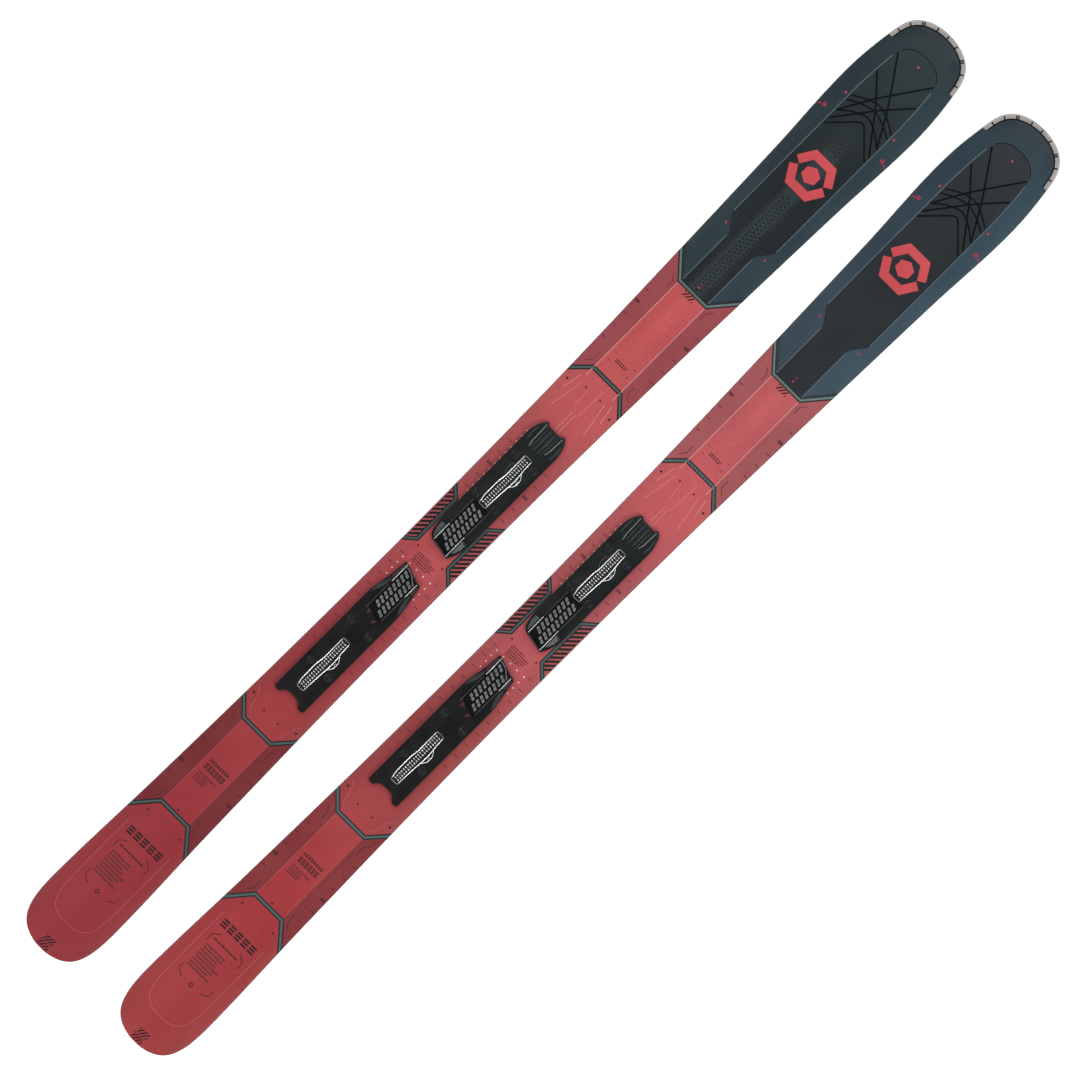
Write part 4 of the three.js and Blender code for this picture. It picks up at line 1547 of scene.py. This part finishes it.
def make_wings():
    """The grip faces beside the pads: dots on the left, ribs on the right, smooth ones on the heel part."""
    low, high = PLATE_TOP + 0.2, PLATE_TOP + 0.75
    loops = [on_side(side, loop) for side in (-1, 1) for loop in (TOE_WING, HEEL_WING)]
    faces = [raised(loop, 0.35, 0.3, 0.2) for loop in loops]
    pieces("track_grip_faces", together(faces), "grip_face")

    # the dots and ribs are pale with painted highlights
    dots = []
    pitch = 2.2
    for k in range(10):
        y = -103.4 + 2.3 * k
        across = across_loop(on_side(-1, TOE_WING), y)
        if not across:
            continue
        for i in range(int((across[1] - across[0]) / pitch)):
            dots.append(slab(circle(across[1] - 1 - pitch * i, y, 0.7, 8), low, high, 0.25))
    for x, rear, front in ((18, -104, -82), (20.2, -100, -84), (22.4, -95, -85)):
        dots.append(slab(rectangle(x - 0.5, x + 0.5, rear, front), low, high, 0.25))
    pieces("track_grip_dots", together(dots), "grip_dot")

    # the heel part's nose flanks: a painted reflection of the red topsheet on the black plastic
    nose = []
    for side, front in ((-1, -160.5), (1, -172)):
        flank = [(16.2, front), (18.6, front - 1.5), (20.6, -184), (19, -187.5), (16.2, -188)]
        nose.append(raised(on_side(side, flank), 0.25, 0.2, 0.2))
    pieces("heel_track_nose", together(nose), "warm_nose")


def make_rack(name, plate):
    """A stamped steel rack: bright raised sides, pairs of teeth and an ear, with darker steel on its ends,
    braces and rung middles and a dark floor, all painted shade.
    """
    start = plate["rack_from"]
    end = start + RACK["length"]
    floor = PLATE_TOP - RACK["pocket"] + FLOOR_LIFT

    def strip(points, width, height, edge):
        return slab(stroke_loop(points, width), floor + 0.4, PLATE_TOP + height, edge)

    bends = [(x + 0.6, y, r) for x, y, r in rack_left(start, end, 0)[1:4]]
    left = rounded([(-6.2, end - 2), *bends, (-6, start + 3)])
    right = rounded([(6, start + 3), (7.2, start + 29, 8), (8.8, start + 50, 6), (8.8, start + 62, 6),
                     (6.8, start + 80, 6), (6.6, end - 2)])
    walls = together([strip(points, 1.3, 0.5, 0.5) for points in (left, right)])
    pieces(f"{name}_rack", walls, "rack", [f"{name}_rack"])

    first = start + (RACK["length"] - RACK["slots"] * RACK["pitch"]) / 2
    teeth, shaded_parts = [], []
    for k in range(RACK["slots"] + 1):
        y = first + k * RACK["pitch"]
        for x in (-2.7, 2.7):
            teeth.append(slab(circle(x, y, 1.1, 12), floor + 0.5, PLATE_TOP + 0.2, 0.5))
        shaded_parts.append(slab(rectangle(-1.9, 1.9, y - 0.5, y + 0.5), floor + 0.5, PLATE_TOP - 0.9, 0.2))
    ear = rounded([(9.2, start + 45), (14.2, start + 52, 3), (14.2, start + 63, 3), (9.2, start + 70)])
    teeth.append(strip(ear, 1.1, 0.35, 0.4))
    for y, away in ((start, -1), (end, 1)):
        cap = [(-6.4, y - 2.6 * away), (-6.2, y - away), (-4.6, y)]
        shaded_parts.append(strip(cap + mirrored(cap), 1.2, 0.4, 0.4))
    for lean in (-1, 1):
        brace = [(9.6, start + 57.5 - 3 * lean), (13.8, start + 57.5 + 3 * lean)]
        shaded_parts.append(strip(brace, 0.9, 0.1, 0.3))
    pieces(f"{name}_rack_teeth", together(teeth), "teeth")
    pieces(f"{name}_rack_ends", together(shaded_parts), "rack_dull")
    pieces(f"{name}_rack_floor", slab(rack_outline(start), floor, floor + 0.7), "rack_floor")


def check_at(x, y, along, across):
    """The point of a leaning chequer at shares (from -1 to 1) of its length and width."""
    dx = across * CHECK["across"] / 2
    return x + dx, y - dx * CHECK["lean"] / CHECK["across"] + along * CHECK["along"] / 2


def check_loop(x, y):
    """The outline of one chequer, which leans forwards to the left."""
    shares = ((-1, -1), (-1, 1), (1, 1), (1, -1))
    return anticlockwise(rounded([(*check_at(x, y, *share), 0.6) for share in shares], 2))


def make_pad(name, plate):
    """A rubber pad with two rows of chequers, each with two raised rings on top, pale with painted
    highlights.
    """
    bottom = PLATE_TOP - PAD["pocket"] + FLOOR_LIFT
    top = PLATE_TOP + PAD["proud"]
    high = top + CHECK["height"] - 0.35
    checks, rings = [], []
    for side, (first, count) in zip((-1, 1), plate["checks"]):
        for k in range(count):
            x, y = side * CHECK["side"], first - k * CHECK["pitch"]
            checks.append(slab(check_loop(x, y), top - 0.2, high + 0.05, 0.35))
            for half in (-0.5, 0.5):
                corners = ((-0.9, half - 0.42), (-0.9, half + 0.3), (0.9, half + 0.42), (0.9, half - 0.3))
                outer = anticlockwise([check_at(x, y, *corner) for corner in corners])
                rings.append(rim(outer, offset(outer, 1.1), high, high + 0.35, 0.2))
    pieces(f"{name}_grip_pad", slab(pad_outline(plate), bottom, top, 0.4), "pad",
           [f"{name}_grip_pad"])
    pieces(f"{name}_grip_chequers", together(checks), "check")
    pieces(f"{name}_grip_ridges", together(rings), "pad_ridge")


def make_pad_corner():
    """A thin lip that bends round the heel pad's front corner, pale with a painted highlight, and a painted
    red reflection on the plastic beyond it.
    """
    top = PLATE_TOP + PAD["proud"]
    lip = rounded([(-12.6, -162.3), (-3.6, -164.6, 4), (1.6, -167, 5), (11.2, -176.6)])
    pieces("heel_grip_lip", slab(stroke_loop(lip, 1.1), PLATE_TOP, top + 0.3, 0.3), "pad_lip")
    corner = anticlockwise([(3.4, -168.9), (7.2, -172.6), (11.8, -177.2), (12.9, -177.4), (12.9, -173.1)])
    pieces("heel_grip_corner", slab(corner, top - 0.2, top + 0.1), "warm_nose")


def make_frame(name, plate):
    """The thin steel band on edge round a pad's free end: bright legs and a dark end."""
    end = plate["frame"]["end"]
    legs = plate["frame"]["legs"]
    inner, outer = FRAME["x"] - FRAME["width"] / 2, FRAME["x"] + FRAME["width"] / 2
    away = math.copysign(FRAME["width"], end[0] - legs[0])
    low, high = PLATE_TOP + 0.1, PLATE_TOP + FRAME["height"]
    loops = [beside(side, inner, outer, *sorted(reach)) for side, *reach in zip((-1, 1), legs, end)]
    both_legs = together([slab(loop, low, high, 0.4) for loop in loops])
    pieces(f"{name}_pad_frame", both_legs, "frame", [f"{name}_pad_frame"])
    left, right = end
    cross = rounded([(-outer, left), (outer, right), (outer, right + away, 1), (-outer, left + away, 1)])
    band_end = slab(anticlockwise(cross), low, high - 0.4, 0.4)
    pieces(f"{name}_pad_frame_end", band_end, "frame_end")


def cross_loop(x, y, arm, width):
    """A cross, as a screwdriver's tip leaves it."""
    a, w = arm, width / 2
    corners = [(w, w), (a, w * 0.7), (a, -w * 0.7), (w, -w), (w * 0.7, -a), (-w * 0.7, -a),
               (-w, -w), (-a, -w * 0.7), (-a, w * 0.7), (-w, w), (-w * 0.7, a), (w * 0.7, a)]
    turn = Matrix.Rotation(0.35 + y * 0.7, 2)
    turned = [turn @ Vector(corner) for corner in corners]
    return [(x + corner.x, y + corner.y) for corner in turned]


def make_screws(name, plate):
    """Countersunk heads with a cross recess, each left at its own angle."""
    low = PLATE_TOP - SCREW["recess"] + 0.2
    for x, y, place in screw_places(plate):
        head = circle(x, y, SCREW["radius"], 24)
        shell = slab(circle(x, y, SCREW["shank"], 12), low - SCREW["depth"], low + 0.1)
        shell.join(slab(head, low, low + 0.5))
        shell.join(slab(head, low + 0.45, low + 1.9, 0.6, [cross_loop(x, y, 2.3, 1.3)]))
        pieces(f"{name}_screw_{place}", shell, "screw", [f"{name}_screw_{place}"])


def make_triangles():
    """Two small dark red marks on the heel plate, behind its pad."""
    loops = ([(-11, -240.5), (-4, -244), (-9, -249)], [(5, -249.5), (12, -247.5), (6, -255)])
    shell = together([raised(loop, 0.15, 0, 0.1) for loop in loops])
    pieces("heel_track_marks", shell, "dark_triangle")


for part, plate, lips in (("toe", TOE_PLATE, toe_lips()), ("heel", HEEL_PLATE, heel_lips())):
    make_plate(part, plate, lips)
    make_rack(part, plate)
    make_pad(part, plate)
    make_frame(part, plate)
    make_screws(part, plate)
pieces("toe_track_ridges", toe_ridges(), "plate_ridge")
make_wings()
make_pad_corner()
make_triangles()


# ---- CAD nodes that stay --------------------------------------------------------------------------

KEPT = {"lower_laminate": "laminate", "upper_laminate": "laminate", "wood_core": "wood"}
for side in SKIS:
    for node, material in KEPT.items():
        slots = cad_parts[f"{side}_{node}"].material_slots
        for slot in slots:
            slot.material = MATERIALS[material]


# ---- Floor, light and camera ------------------------------------------------------------------------

FLOOR_REACH = 14  # metres from here on
FLOOR_DROP = 0.0005  # the floor lies this far under the skis
SENSOR, LENS, PICTURE = 36, 600, 1080
PIXEL = 1.41 * MM  # the length that one pixel of the picture shows
AIM = (-1.0253, -3.0495, DECK)  # in millimetres, what the middle of the picture shows


def make_floor():
    nodes = Nodes("pale_floor")
    nodes.finish(nodes.varied((0.93, 0.93, 0.93, 1), nodes.noise(3), 0.005), 0.9, specular=0)
    mesh = bpy.data.meshes.new("floor")
    square = rectangle(-FLOOR_REACH, FLOOR_REACH, -FLOOR_REACH, FLOOR_REACH)
    mesh.from_pydata([(x, y, 0) for x, y in square], [], [[0, 1, 2, 3]])
    mesh.materials.append(nodes.material)
    floor = bpy.data.objects.new("floor", mesh)
    floor.location.z = -FLOOR_DROP
    bpy.context.scene.collection.objects.link(floor)


def softbox(name, place, size, share):
    """A square light aimed at the skis, which adds `share` to what a white floor gives back."""
    place = Vector(place)
    light = bpy.data.lights.new(name, "AREA")
    light.shape = "SQUARE"
    light.size = size
    light.energy = share * math.pi ** 2 * place.length ** 3 / place.z
    lamp = bpy.data.objects.new(name, light)
    lamp.location = place
    lamp.rotation_mode = "QUATERNION"
    lamp.rotation_quaternion = (-place).to_track_quat("-Z", "Y")
    lamp.visible_camera = False
    bpy.context.scene.collection.objects.link(lamp)


def make_light():
    world = bpy.data.worlds.new("studio")
    world.use_nodes = True
    background = world.node_tree.nodes["Background"]
    background.inputs["Color"].default_value = (1, 1, 1, 1)
    background.inputs["Strength"].default_value = SKY_LIGHT
    bpy.context.scene.world = world
    softbox("key", (4.8, -1.0, 4.2), 2.4, KEY_LIGHT)
    softbox("side_left", (-4.8, 1.0, 4.2), 3.6, SIDE_LIGHT)
    softbox("side_front", (0.5, 5.2, 4.4), 3.6, SIDE_LIGHT)
    softbox("side_rear", (-0.5, -5.2, 4.4), 3.6, SIDE_LIGHT)


def make_camera():
    """Straight above, turned so that the skis run from the lower left to the upper right."""
    right = Vector((0.7081, 0.7061, 0)).normalized()
    up = Vector((-right.y, right.x, 0))
    data = bpy.data.cameras.new("camera")
    data.lens = LENS
    data.sensor_width = SENSOR
    data.clip_end = 100
    distance = PICTURE * PIXEL * LENS / SENSOR
    place = Vector(AIM) * MM + Vector((0, 0, distance))
    turn = Matrix((right, up, Vector((0, 0, 1)))).transposed().to_4x4()
    camera = bpy.data.objects.new("camera", data)
    camera.matrix_world = Matrix.Translation(place) @ turn
    bpy.context.scene.collection.objects.link(camera)
    bpy.context.scene.camera = camera


make_floor()
make_light()
make_camera()
bpy.context.scene.view_settings.view_transform = "Standard"
